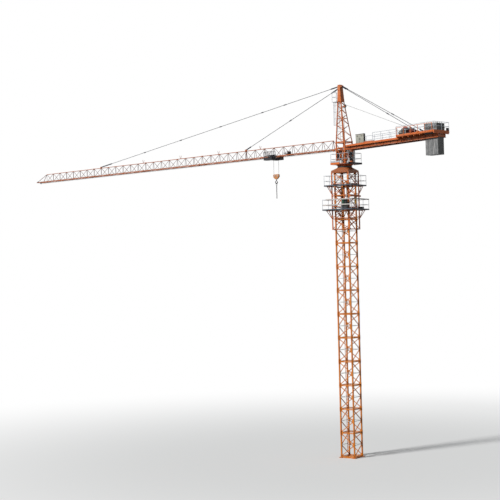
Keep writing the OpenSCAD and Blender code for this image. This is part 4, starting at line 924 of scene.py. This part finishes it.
class CRANE_OT_head_parts(PieceOperator, bpy.types.Operator):
    """Stiffeners round the tower head's neck, and the ties' pins on it"""
    bl_idname = "crane.head_parts"
    bl_label = "Head parts"

    def execute(self, context):
        paint, metal = bmesh.new(), bmesh.new()
        for share in (0.02, 0.36, 0.68, 0.97):
            rear, front, half = (a + (b - a) * share for a, b in zip(NECK_SIDES, CROWN_SIDES))
            z = NECK_Z + NECK_H * share
            for side in SIDES:
                block(paint, ((rear + front) / 2, side * (half + 0.005), z), (front - rear, 0.014, 0.016))
            block(paint, (rear - 0.005, 0, z), (0.014, 2 * half + 0.01, 0.016))
        at = origin(*TIE_TOP)
        for z in (0, -0.105):
            for side in SIDES:
                rod(metal, at(0, side * 0.030, z), at(0, side * 0.036, z), 0.018, 16)
                bolt(metal, at(0.02, side * 0.0325, z + 0.02), (0, side, 0), 0.01)
        put("head_stiffeners", paint, UPPER, "upper_paint")
        put("head_pins", metal, UPPER, "bolt_steel")
        return {"FINISHED"}


class CRANE_OT_jib_couplings(PieceOperator, bpy.types.Operator):
    """Fork plates and pins where the jib's sections join"""
    bl_idname = "crane.jib_couplings"
    bl_label = "Jib couplings"

    def execute(self, context):
        paint, metal = bmesh.new(), bmesh.new()
        for joint in (panel(7), panel(14), panel(21), panel(28)):
            for y, z, reach in ((-JIB_HALF, JIB_Z, 0.021), (JIB_HALF, JIB_Z, 0.021), (0, TOP_Z, 0.02)):
                at = origin(joint, y, z + 0.012)
                for side in SIDES:
                    block(paint, at(0, side * (reach + 0.006), 0), (0.15, 0.010, 0.04), 0.003)
                    rod(metal, at(side * 0.045, -reach - 0.020, 0), at(side * 0.045, reach + 0.020, 0), 0.010, 12)
        put("jib_forks", paint, UPPER, "upper_paint")
        put("jib_pins", metal, UPPER, "bolt_steel")
        return {"FINISHED"}


class CRANE_OT_jib_ropes(PieceOperator, bpy.types.Operator):
    """The travel ropes from the trolley to both ends, and the hoist rope through the jib and down to the block"""
    bl_idname = "crane.jib_ropes"
    bl_label = "Jib ropes"

    def execute(self, context):
        r, hoist_r = self.sizes.rope / 2, self.sizes.hoist_rope / 2
        for name, y, z, start, end, radius in (
                ("travel_rope_rear", -0.03, TRAVEL_Z, ROOT_SHEAVE_X, -0.28, r),
                ("travel_rope_front", 0.03, TRAVEL_Z, NOSE_SHEAVE_X, 0.28, r),
                ("hoist_rope_rear", 0, HOIST_Z, HEAD_ROPE_X + SHEAVE_R, -SHEAVE_X, hoist_r),
                ("hoist_rope_front", 0, HOIST_Z, NOSE_SHEAVE_X, SHEAVE_X, hoist_r)):
            self.stretched(name, [((start, y, z), (TROLLEY_X + end, y, z))], radius)
        falls = [TROLLEY_X + side * (SHEAVE_X + SHEAVE_R) for side in SIDES]
        falls = self.stretched("hoist_rope_falls", [((x, 0, SHEAVE_Z), (x, 0, BLOCK_Z)) for x in falls],
                               hoist_r, "wire_rope", ("trolley", "hook_block"))
        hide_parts("rope_falls")
        head, loops = bmesh.new(), bmesh.new()
        at = origin(HEAD_ROPE_X, 0, HOIST_Z + SHEAVE_R)
        rod(head, (HEAD_ROPE_X, 0, NECK_Z - 0.26), at(0, 0, 0), hoist_r)
        tube_path(head, arc(at(SHEAVE_R, 0, 0), SHEAVE_R, 180, 270), hoist_r)
        for y, x, last in ((-0.03, ROOT_SHEAVE_X, 270), (0.03, NOSE_SHEAVE_X, -90)):
            rod(loops, (DRUM_X, y, RETURN_Z), (x, y, RETURN_Z), r, 8)
            tube_path(loops, arc((x, y, (RETURN_Z + TRAVEL_Z) / 2), LOOP_R, 90, last), r, 8)
        put("hoist_rope_head", head, UPPER, "wire_rope")
        put("travel_rope_loops", loops, UPPER, "long_rope")
        for name, where, centre_z, way in (("trolley_rope_turns", TROLLEY, SHEAVE_Z, 1),
                                           ("block_rope_turns", BLOCK, BLOCK_Z, -1)):
            bm = bmesh.new()
            at = origin(TROLLEY_X, 0, centre_z)
            for side in SIDES:
                last = 180 - 90 * way
                tube_path(bm, arc(at(side * SHEAVE_X, 0, 0), SHEAVE_R, last - 90 * way * side, last), hoist_r)
            rod(bm, at(-SHEAVE_X, 0, way * SHEAVE_R), at(SHEAVE_X, 0, way * SHEAVE_R), hoist_r)
            put(name, bm, where, "wire_rope")
        return {"FINISHED"}

    @staticmethod
    def stretched(name, ropes, radius, material="long_rope", bodies=("upper_crane", "trolley")):
        """Straight ropes in one piece, baked into place. The bodies argument is not used."""
        bm = bmesh.new()
        for first, second in ropes:
            rod(bm, first, second, radius, 12)
        piece = made_object(name, bm, material)
        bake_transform(piece)
        return piece


class CRANE_OT_jib_walkway(PieceOperator, bpy.types.Operator):
    """The grating walkway from the slewing tower to the travel winch, and the winch's drum and motor"""
    bl_idname = "crane.jib_walkway"
    bl_label = "Jib walkway"

    def execute(self, context):
        floor, drum, motor = (bmesh.new() for _ in range(3))
        start, end, step = 0.78, DRUM_X - 0.24, 0.06
        mid, length = (start + end) / 2, end - start
        at = origin(0, 0, JIB_Z + 0.022)
        for y in (-0.1, 0.1):
            block(floor, at(mid, y, 0), (length, 0.004, 0.016))
        for i in range(int(length / step) + 1):
            block(floor, at(start + i * step, 0, 0), (0.005, 0.2, 0.012))
        for i in range(9):
            block(floor, at(mid, -0.08 + i * 0.02, 0.002), (length, 0.002, 0.010))
        at = origin(DRUM_X, 0, DRUM_Z)
        for y in (-0.106, 0.098):
            washer(drum, at(0, y, 0), ACROSS, 0.0755, 0.098, 0.008, 36)
        for i in range(16):
            wheel(drum, at(0, -0.09 + i * 0.0115, 0), ACROSS, [
                (0.0752, 0), (0.083, 0.001), (0.084, 0.004), (0.083, 0.008), (0.0752, 0.009)], 28)
        block(motor, at(-0.02, 0.17, -0.02), (0.13, 0.08, 0.13), 0.01)
        rod(motor, at(0.04, 0.17, -0.02), at(0.19, 0.17, -0.02), 0.045, 20)
        put("jib_walkway", floor, UPPER, "zinc", smooth=False)
        put("travel_drum", drum, UPPER, "wire_rope")
        put("travel_motor", motor, UPPER, "steel")
        return {"FINISHED"}


class CRANE_OT_jib_nose_parts(PieceOperator, bpy.types.Operator):
    """Rope sheaves at the jib's tip and root, and the tip's buffers"""
    bl_idname = "crane.jib_nose_parts"
    bl_label = "Jib nose parts"

    def execute(self, context):
        metal, dark = bmesh.new(), bmesh.new()
        for x, y, z, r in ((NOSE_SHEAVE_X, 0.03, TRAVEL_Z + LOOP_R, LOOP_R),
                           (ROOT_SHEAVE_X, -0.03, TRAVEL_Z + LOOP_R, LOOP_R),
                           (NOSE_SHEAVE_X, 0, HOIST_Z - 0.03, 0.03),
                           (HEAD_ROPE_X + SHEAVE_R, 0, HOIST_Z + SHEAVE_R, SHEAVE_R)):
            wheel(metal, (x, y, z), ACROSS, [
                (0.008, -0.010), (r + 0.006, -0.010), (r - 0.006, 0.0), (r + 0.006, 0.010), (0.008, 0.010)])
            rod(metal, (x, y - 0.02, z), (x, y + 0.02, z), 0.009, 12)
        for side in SIDES:
            at = origin(NOSE_X, side * (JIB_HALF + 0.038), JIB_Z)
            block(dark, at(-0.13, 0, 0.03), (0.03, 0.03, 0.06))
            taper(dark, at(-0.145, 0, 0.035), at(-0.205, 0, 0.035), 0.018, 0.013)
        put("nose_sheaves", metal, UPPER, "steel")
        put("nose_brackets", dark, UPPER, "dark_paint")
        return {"FINISHED"}


class CRANE_OT_trolley_parts(PieceOperator, bpy.types.Operator):
    """Wheel caps, buffers, rope guards and bolts of the trolley"""
    bl_idname = "crane.trolley_parts"
    bl_label = "Trolley parts"

    def execute(self, context):
        metal, dark = bmesh.new(), bmesh.new()
        at, side_y, axle_z = origin(TROLLEY_X, 0, SHEAVE_Z), 0.322, JIB_Z + 0.0373
        for x, y in CORNERS:
            cap = (TROLLEY_X + x * 0.21, y * (side_y + 0.006), axle_z)
            wheel(metal, cap, (0, y, 0), [(0.001, 0), (0.030, 0), (0.030, 0.006), (0.020, 0.010), (0.001, 0.012)], 24)
            bolt_ring(metal, Vector(cap) + Vector((0, y * 0.005, 0)), (0, y, 0), 0.023, 6, 0.006)
            block(dark, (TROLLEY_X + x * 0.2562, y * (side_y - 0.03), JIB_Z - 0.055), (0.05, 0.05, 0.05), 0.006)
            block(dark, at(x * SHEAVE_X, y * 0.041, 0), (0.05, 0.012, 0.05), 0.004)
            bolt(metal, at(x * SHEAVE_X, y * 0.047, 0), (0, y, 0), 0.020)
        for x in SIDES:
            guard = x * (SHEAVE_X + SHEAVE_R + 0.005)
            rod(dark, at(guard, -0.03, 0.055), at(guard, 0.03, 0.055), 0.006)
        put("trolley_caps", metal, TROLLEY, "steel")
        put("trolley_guards", dark, TROLLEY, "dark_paint")
        return {"FINISHED"}


class CRANE_OT_basket_mesh(PieceOperator, bpy.types.Operator):
    """Wire mesh, kick plates and a tool box of the service basket"""
    bl_idname = "crane.basket_mesh"
    bl_label = "Basket mesh"

    def execute(self, context):
        bm = bmesh.new()
        x0, x1 = TROLLEY_X + 0.02 - 0.298, TROLLEY_X + 0.02 + 0.298
        y0, y1 = 0.340, 0.646
        z0, z1 = TROLLEY_LOW - 0.018, TROLLEY_LOW + 0.425
        kick, kick_h, thin = z0 + 0.06, 0.12, 0.004
        step, wire = 0.036, 0.0022
        block(bm, ((x0 + x1) / 2, y1 + 0.006, kick), (x1 - x0, thin, kick_h))
        for x in (x0 - 0.004, x1 + 0.004):
            block(bm, (x, (y0 + y1) / 2, kick), (thin, y1 - y0, kick_h))
        block(bm, (x0 + 0.13, y1 - 0.10, z0 + 0.105), (0.20, 0.14, 0.17), 0.008)
        columns = [(x0 + i * step, y1) for i in range(1, int((x1 - x0) / step))]
        columns += [(x, y0 + i * step) for i in range(1, int((y1 - y0) / step)) for x in (x0, x1)]
        for x, y in columns:
            rod(bm, (x, y, z0), (x, y, z1), wire, 4)
        for i in range(1, int((z1 - z0) / step) + 1):
            z = z0 + i * step
            rod(bm, (x0, y1 + 0.003, z), (x1, y1 + 0.003, z), wire, 4)
            for x in (x0, x1):
                rod(bm, (x + 0.003, y0, z), (x + 0.003, y1, z), wire, 4)
        put("basket_mesh", bm, TROLLEY, "dark_paint", smooth=False)
        return {"FINISHED"}


class CRANE_OT_hook_parts(PieceOperator, bpy.types.Operator):
    """Pin bolts, bosses and rope guards of the hook block, and the hook's safety latch"""
    bl_idname = "crane.hook_parts"
    bl_label = "Hook parts"

    def execute(self, context):
        metal, paint, latch = (bmesh.new() for _ in range(3))
        at = origin(TROLLEY_X, 0, BLOCK_Z)
        for x, y in CORNERS:
            bolt(metal, at(x * SHEAVE_X, y * 0.043, 0), (0, y, 0), 0.034)
            washer(paint, at(x * SHEAVE_X, y * 0.039, 0), (0, y, 0), 0.017, 0.046, 0.004)
            bolt(metal, at(x * 0.045, y * 0.039, -0.15), (0, y, 0), 0.018)
        for x in (-0.178, 0.178):
            rod(metal, at(x, -0.042, 0.066), at(x, 0.042, 0.066), 0.007, 12)
        tip, root = at(-0.062, 0, -0.309), at(-0.018, 0, -0.251)
        for y in (-0.012, 0.012):
            strut(latch, tip + Vector((0, y, 0)), root + Vector((0, y, 0)), 0.004, 0.014)
        strut(latch, tip + Vector((-0.002, 0, 0.004)), root + Vector((-0.002, 0, 0.004)), 0.024, 0.003)
        rod(latch, root + Vector((0, -0.028, 0)), root + Vector((0, 0.028, 0)), 0.005, 12)
        put("block_pins", metal, BLOCK, "bolt_steel")
        put("block_bosses", paint, BLOCK, "block_paint")
        put("hook_latch", latch, HOOK, "steel")
        return {"FINISHED"}


class CRANE_OT_counter_parts(PieceOperator, bpy.types.Operator):
    """Web stiffeners, splice plates and their bolts on the counter-jib's beams"""
    bl_idname = "crane.counter_parts"
    bl_label = "Counter-jib parts"

    def execute(self, context):
        paint, metal = bmesh.new(), bmesh.new()
        mid, beam_y = DECK_Z - 0.095, 0.3
        x = CJ_START - 0.35
        while x > -CJ_L + 0.1:
            for side, face in CORNERS:
                block(paint, (x, side * beam_y + face * 0.021, mid), (0.008, 0.030, 0.164))
            x -= 0.45
        for x in (-2.45, -4.6):
            for side, face in CORNERS:
                at = origin(x, side * beam_y, mid)
                block(paint, at(0, face * 0.010, 0), (0.20, 0.008, 0.13))
                for dx in (-0.07, -0.025, 0.025, 0.07):
                    for dz in (-0.04, 0, 0.04):
                        bolt(metal, at(dx, face * 0.014, dz), (0, face, 0), self.sizes.small_bolt)
        put("beam_stiffeners", paint, COUNTER, "counter_paint")
        put("beam_bolts", metal, COUNTER, "bolt_steel")
        return {"FINISHED"}


class CRANE_OT_winch_parts(PieceOperator, bpy.types.Operator):
    """Rope turns on the drum, motor fins, brake and covers of the hoist winch"""
    bl_idname = "crane.winch_parts"
    bl_label = "Winch parts"

    def execute(self, context):
        rope, motor, dark = (bmesh.new() for _ in range(3))
        turn = self.sizes.hoist_rope
        r, core = turn / 2, 0.1148
        at = origin(WINCH_X, 0, WIDE_Z + 0.0166)
        for i in range(28):
            wheel(rope, at(0, -0.197 + i * turn, 0.25), ACROSS, [
                (core, 0), (core + r, 0.0005), (core + turn, r), (core + r, turn - 0.0005), (core, turn)], 40)
        wheel(dark, at(0, -0.25, 0.25), (0, -1, 0), [(0.032, 0), (0.075, 0), (0.075, 0.014), (0.032, 0.020)])
        bolt_ring(dark, at(0, -0.264, 0.25), (0, -1, 0), 0.06, 8, self.sizes.small_bolt)
        for x in (-0.42, 0.2):
            for y in (-0.4, 0.4):
                bolt(dark, at(x, y, 0.05), UP, self.sizes.bolt)
        block(dark, at(-0.03, 0.33, 0.31), (0.24, 0.12, 0.03), 0.01)
        at = origin(WINCH_X + 0.203, 0.33, WIDE_Z + 0.1366)
        fins(motor, at(0, 0, 0), (0, 0, 0.075), (0.13, 0.005, 0.014), 24, ALONG)
        block(motor, at(0, 0, 0.096), (0.09, 0.08, 0.04), 0.008)
        rod(dark, at(0.085, 0, 0), at(0.115, 0, 0), 0.066, 28)
        put("drum_rope", rope, COUNTER, "long_rope")
        put("hoist_motor_fins", motor, COUNTER, "door_paint")
        put("winch_covers", dark, COUNTER, "dark_paint")
        return {"FINISHED"}


class CRANE_OT_cabinet_parts(PieceOperator, bpy.types.Operator):
    """Doors, hinges, handles, vents and cable glands of the electric cabinet"""
    bl_idname = "crane.cabinet_parts"
    bl_label = "Cabinet parts"

    def execute(self, context):
        doors, dark = bmesh.new(), bmesh.new()
        corner_x, z = CJ_START - 1.34, DECK_Z + 0.0166
        for y, out in ((0.35, 1), (0.25, -1)):
            for centre, hand in ((0.1415, 1), (0.4085, -1)):
                at = origin(corner_x + centre, y, z)
                block(doors, at(0, out * 0.004, 0.25), (0.25, 0.010, 0.46), 0.003)
                block(dark, at(hand * 0.1, out * 0.014, 0.26), (0.016, 0.016, 0.08), 0.004)
                for hinge in (0.08, 0.42):
                    rod(dark, at(-hand * 0.122, out * 0.010, hinge - 0.02),
                        at(-hand * 0.122, out * 0.010, hinge + 0.02), 0.006)
                for k in range(5):
                    block(dark, at(0, out * 0.010, 0.39 + k * 0.014), (0.10, 0.006, 0.005))
        for i in range(4):
            x = corner_x + 0.1 + i * 0.1
            rod(dark, (x, 0.30, z - 0.03), (x, 0.30, z + 0.02), 0.012)
        put("cabinet_doors", doors, COUNTER, "door_paint")
        put("cabinet_fittings", dark, COUNTER, "dark_paint")
        return {"FINISHED"}


class CRANE_OT_ballast_parts(PieceOperator, bpy.types.Operator):
    """Lifting eyes and tie rods of the ballast slabs"""
    bl_idname = "crane.ballast_parts"
    bl_label = "Ballast parts"

    def execute(self, context):
        metal = bmesh.new()
        eye_r, bar_r = 0.035, 0.008
        for i in range(SLABS):
            for y in (-0.18, 0.18):
                at = origin(SLABS_START - (i + 0.5) * SLAB_STEP, y, JIB_Z + 0.77)
                bend = [math.pi * k / 6 for k in range(7)]
                tube_path(metal, [
                    at(0, eye_r, -0.004), *(at(0, eye_r * math.cos(a), 0.028 + eye_r * math.sin(a)) for a in bend),
                    at(0, -eye_r, -0.004)], bar_r, 8)
        for side in SIDES:
            at = origin(0, side * 0.332, JIB_Z + 0.55)
            rod(metal, at(SLABS_START + 0.02, 0, 0), at(SLABS_END - 0.02, 0, 0), 0.010)
            for x in (SLABS_START + 0.014, SLABS_END - 0.014):
                block(metal, at(x, side * -0.014, 0), (0.012, 0.05, 0.05))
        put("ballast_eyes", metal, UPPER, "bolt_steel")
        return {"FINISHED"}


class CRANE_OT_deck_parts(PieceOperator, bpy.types.Operator):
    """Railing feet, cable duct and end box of the counter-jib"""
    bl_idname = "crane.deck_parts"
    bl_label = "Deck parts"

    def execute(self, context):
        feet, dark = bmesh.new(), bmesh.new()
        x = CJ_START - 0.3
        while x > -WIDE_START + 0.05:
            for side in SIDES:
                block(feet, (x, side * 0.433, DECK_Z + 0.02), (0.04, 0.008, 0.06))
            x -= 0.56
        start, length = CJ_START - 0.6, WIDE_START + CJ_START - 1.2
        block(dark, ((start - WIDE_START) / 2, -0.36, DECK_Z + 0.04), (length, 0.06, 0.04), 0.006)
        block(dark, (-CJ_L + 0.05, -0.54, WIDE_Z + 0.09), (0.09, 0.12, 0.14), 0.01)
        put("railing_feet", feet, COUNTER, "counter_paint")
        put("cable_duct", dark, COUNTER, "dark_paint")
        return {"FINISHED"}


class CRANE_OT_tie_parts(PieceOperator, bpy.types.Operator):
    """Pins through the couplings and at the ends of the ties"""
    bl_idname = "crane.tie_parts"
    bl_label = "Tie pins"

    def execute(self, context):
        bm = bmesh.new()
        ties = [(TIE_TOP, Vector((panel(27), 0, TOP_Z + 0.06)), (0.193, 0.280, 0.449, 0.620, 0.786)),
                (TIE_TOP - Vector((0, 0, 0.105)), Vector((panel(9), 0, TOP_Z + 0.06)), (0.5,))]
        for side in SIDES:
            ties.append((Vector((0.05, side * 0.05, HEAD_TOP - 0.09)),
                         RAISED @ Vector((SLABS_START + 0.41, side * 0.3, WIDE_Z + 0.08)), (0.62,)))
        for a, b, places in ties:
            way = (b - a).normalized()
            across = way.cross(Vector(UP)).normalized()
            for share in places:
                for step in (-0.06, 0.06):
                    at = a + (b - a) * share + way * step
                    rod(bm, at - across * 0.026, at + across * 0.026, 0.011, 12)
            for end in (a, b):
                for side in SIDES:
                    rod(bm, end + across * side * 0.033, end + across * side * 0.040, 0.017, 16)
        put("tie_pins", bm, UPPER, "bolt_steel")
        return {"FINISHED"}


class CRANE_OT_stage(PieceOperator, bpy.types.Operator):
    """Pale floor, soft light, white background and the camera at the photograph's angle"""
    bl_idname = "crane.stage"
    bl_label = "Stage"

    def execute(self, context):
        self.camera(context.scene)
        self.lights(context.scene)
        self.floor(context.scene)
        return {"FINISHED"}

    @staticmethod
    def camera(scene):
        azimuth, distance, height = math.radians(221.05), 68.535, 9.985
        pitch, roll, yaw = 0.0157, 0.0242, 0.0748
        ahead = Vector((-math.sin(azimuth), math.cos(azimuth), 0))
        right = Vector((math.cos(azimuth), math.sin(azimuth), 0))
        up = Vector(UP)
        turned = ahead * math.cos(yaw) - right * math.sin(yaw)
        side = right * math.cos(yaw) + ahead * math.sin(yaw)
        view = turned * math.cos(pitch) + up * math.sin(pitch)
        top = up * math.cos(pitch) - turned * math.sin(pitch)
        x_axis = side * math.cos(roll) - top * math.sin(roll)
        y_axis = side * math.sin(roll) + top * math.cos(roll)
        matrix = Matrix((x_axis, y_axis, -view)).transposed().to_4x4()
        matrix.translation = -ahead * distance + Vector((0, 0, height))
        data = bpy.data.cameras.new("photo_camera")
        data.lens, data.clip_end = 93.06, 900
        camera = bpy.data.objects.new("photo_camera", data)
        camera.matrix_world = matrix
        scene.collection.objects.link(camera)
        scene.camera = camera

    @staticmethod
    def lights(scene):
        key = bpy.data.lights.new("key_light", "SUN")
        key.energy, key.angle = 3.6, math.radians(10)
        sun = bpy.data.objects.new("key_light", key)
        sun.matrix_world = aim((0.16, 0.80, 0.50))
        scene.collection.objects.link(sun)
        world = bpy.data.worlds.new("studio")
        world.use_nodes = True
        scene.world = world
        tree = world.node_tree
        tree.nodes.clear()
        soft = add_node(tree, "ShaderNodeBackground", {"Color": (0.92, 0.96, 1), "Strength": 0.24})
        white = add_node(tree, "ShaderNodeBackground", {"Color": (1, 1, 1)})
        mix = add_node(tree, "ShaderNodeMixShader", {0: seen_directly(tree), 1: soft, 2: white})
        add_node(tree, "ShaderNodeOutputWorld", {"Surface": mix})
        scene.view_settings.view_transform = "Standard"

    @staticmethod
    def floor(scene):
        """A wide floor that keeps the shadow near the crane and turns white further out."""
        material = bpy.data.materials.new("studio_floor")
        material.use_nodes = True
        tree = material.node_tree
        tree.nodes.clear()
        shade = mixed(tree, seen_directly(tree), (0.17, 0.18, 0.17), (0.80, 0.80, 0.79))
        matte = add_node(tree, "ShaderNodeBsdfDiffuse", {"Color": shade})
        white = add_node(tree, "ShaderNodeEmission", {"Color": (1, 1, 1)})
        coords = add_node(tree, "ShaderNodeTexCoord").outputs["Object"]
        length = add_node(tree, "ShaderNodeVectorMath", {0: coords}, operation="LENGTH").outputs["Value"]
        far = add_node(tree, "ShaderNodeMapRange", {"Value": length, "From Min": 6, "From Max": 42},
                       interpolation_type="SMOOTHSTEP")
        both = add_node(tree, "ShaderNodeMath", {0: far, 1: seen_directly(tree)}, operation="MULTIPLY")
        mix = add_node(tree, "ShaderNodeMixShader", {0: both, 1: matte, 2: white})
        add_node(tree, "ShaderNodeOutputMaterial", {"Surface": mix})
        bm = bmesh.new()
        bmesh.ops.create_circle(bm, cap_ends=True, segments=96, radius=400)
        mesh = bpy.data.meshes.new("floor")
        bm.to_mesh(mesh)
        bm.free()
        mesh.materials.append(material)
        floor = bpy.data.objects.new("floor", mesh)
        scene.collection.objects.link(floor)


def seen_directly(tree):
    """1 for rays from the camera, and for those that metal and glass send on."""
    path = add_node(tree, "ShaderNodeLightPath")
    share = path.outputs["Is Camera Ray"]
    for kind in ("Is Glossy Ray", "Is Transmission Ray"):
        share = add_node(tree, "ShaderNodeMath", {0: share, 1: path.outputs[kind]}, operation="MAXIMUM").outputs[0]
    return share


OPERATORS = (
    CRANE_OT_stage, CRANE_OT_paint, CRANE_OT_mast_bolts, CRANE_OT_gusset_bolts, CRANE_OT_anchors,
    CRANE_OT_mast_cable, CRANE_OT_cage_parts, CRANE_OT_platform_trim, CRANE_OT_slewing_gear,
    CRANE_OT_slewing_drives, CRANE_OT_cabin_parts, CRANE_OT_head_parts, CRANE_OT_jib_couplings,
    CRANE_OT_jib_ropes, CRANE_OT_jib_walkway, CRANE_OT_jib_nose_parts, CRANE_OT_trolley_parts,
    CRANE_OT_basket_mesh, CRANE_OT_hook_parts, CRANE_OT_counter_parts, CRANE_OT_winch_parts,
    CRANE_OT_cabinet_parts, CRANE_OT_ballast_parts, CRANE_OT_deck_parts, CRANE_OT_tie_parts,
)


class CRANE_PT_panel(bpy.types.Panel):
    """Lists the crane's sizes, colours and pieces"""
    bl_idname = "CRANE_PT_panel"
    bl_label = "Crane"
    bl_space_type = "VIEW_3D"
    bl_region_type = "UI"
    bl_category = "Crane"

    def draw(self, context):
        for group in (context.scene.crane_sizes, context.scene.crane_paint):
            box = self.layout.box()
            for name in group.__annotations__:
                box.prop(group, name)
        for operator in OPERATORS:
            self.layout.operator(operator.bl_idname)


CLASSES = (CranePaint, CraneSizes, *OPERATORS, CRANE_PT_panel)


def register():
    for cls in CLASSES:
        bpy.utils.register_class(cls)
    bpy.types.Scene.crane_paint = bpy.props.PointerProperty(type=CranePaint)
    bpy.types.Scene.crane_sizes = bpy.props.PointerProperty(type=CraneSizes)


def unregister():
    del bpy.types.Scene.crane_sizes
    del bpy.types.Scene.crane_paint
    for cls in reversed(CLASSES):
        bpy.utils.unregister_class(cls)


def main():
    register()
    for operator in OPERATORS:
        group, name = operator.bl_idname.split(".")
        getattr(getattr(bpy.ops, group), name)()


if __name__ == "__main__":
    main()
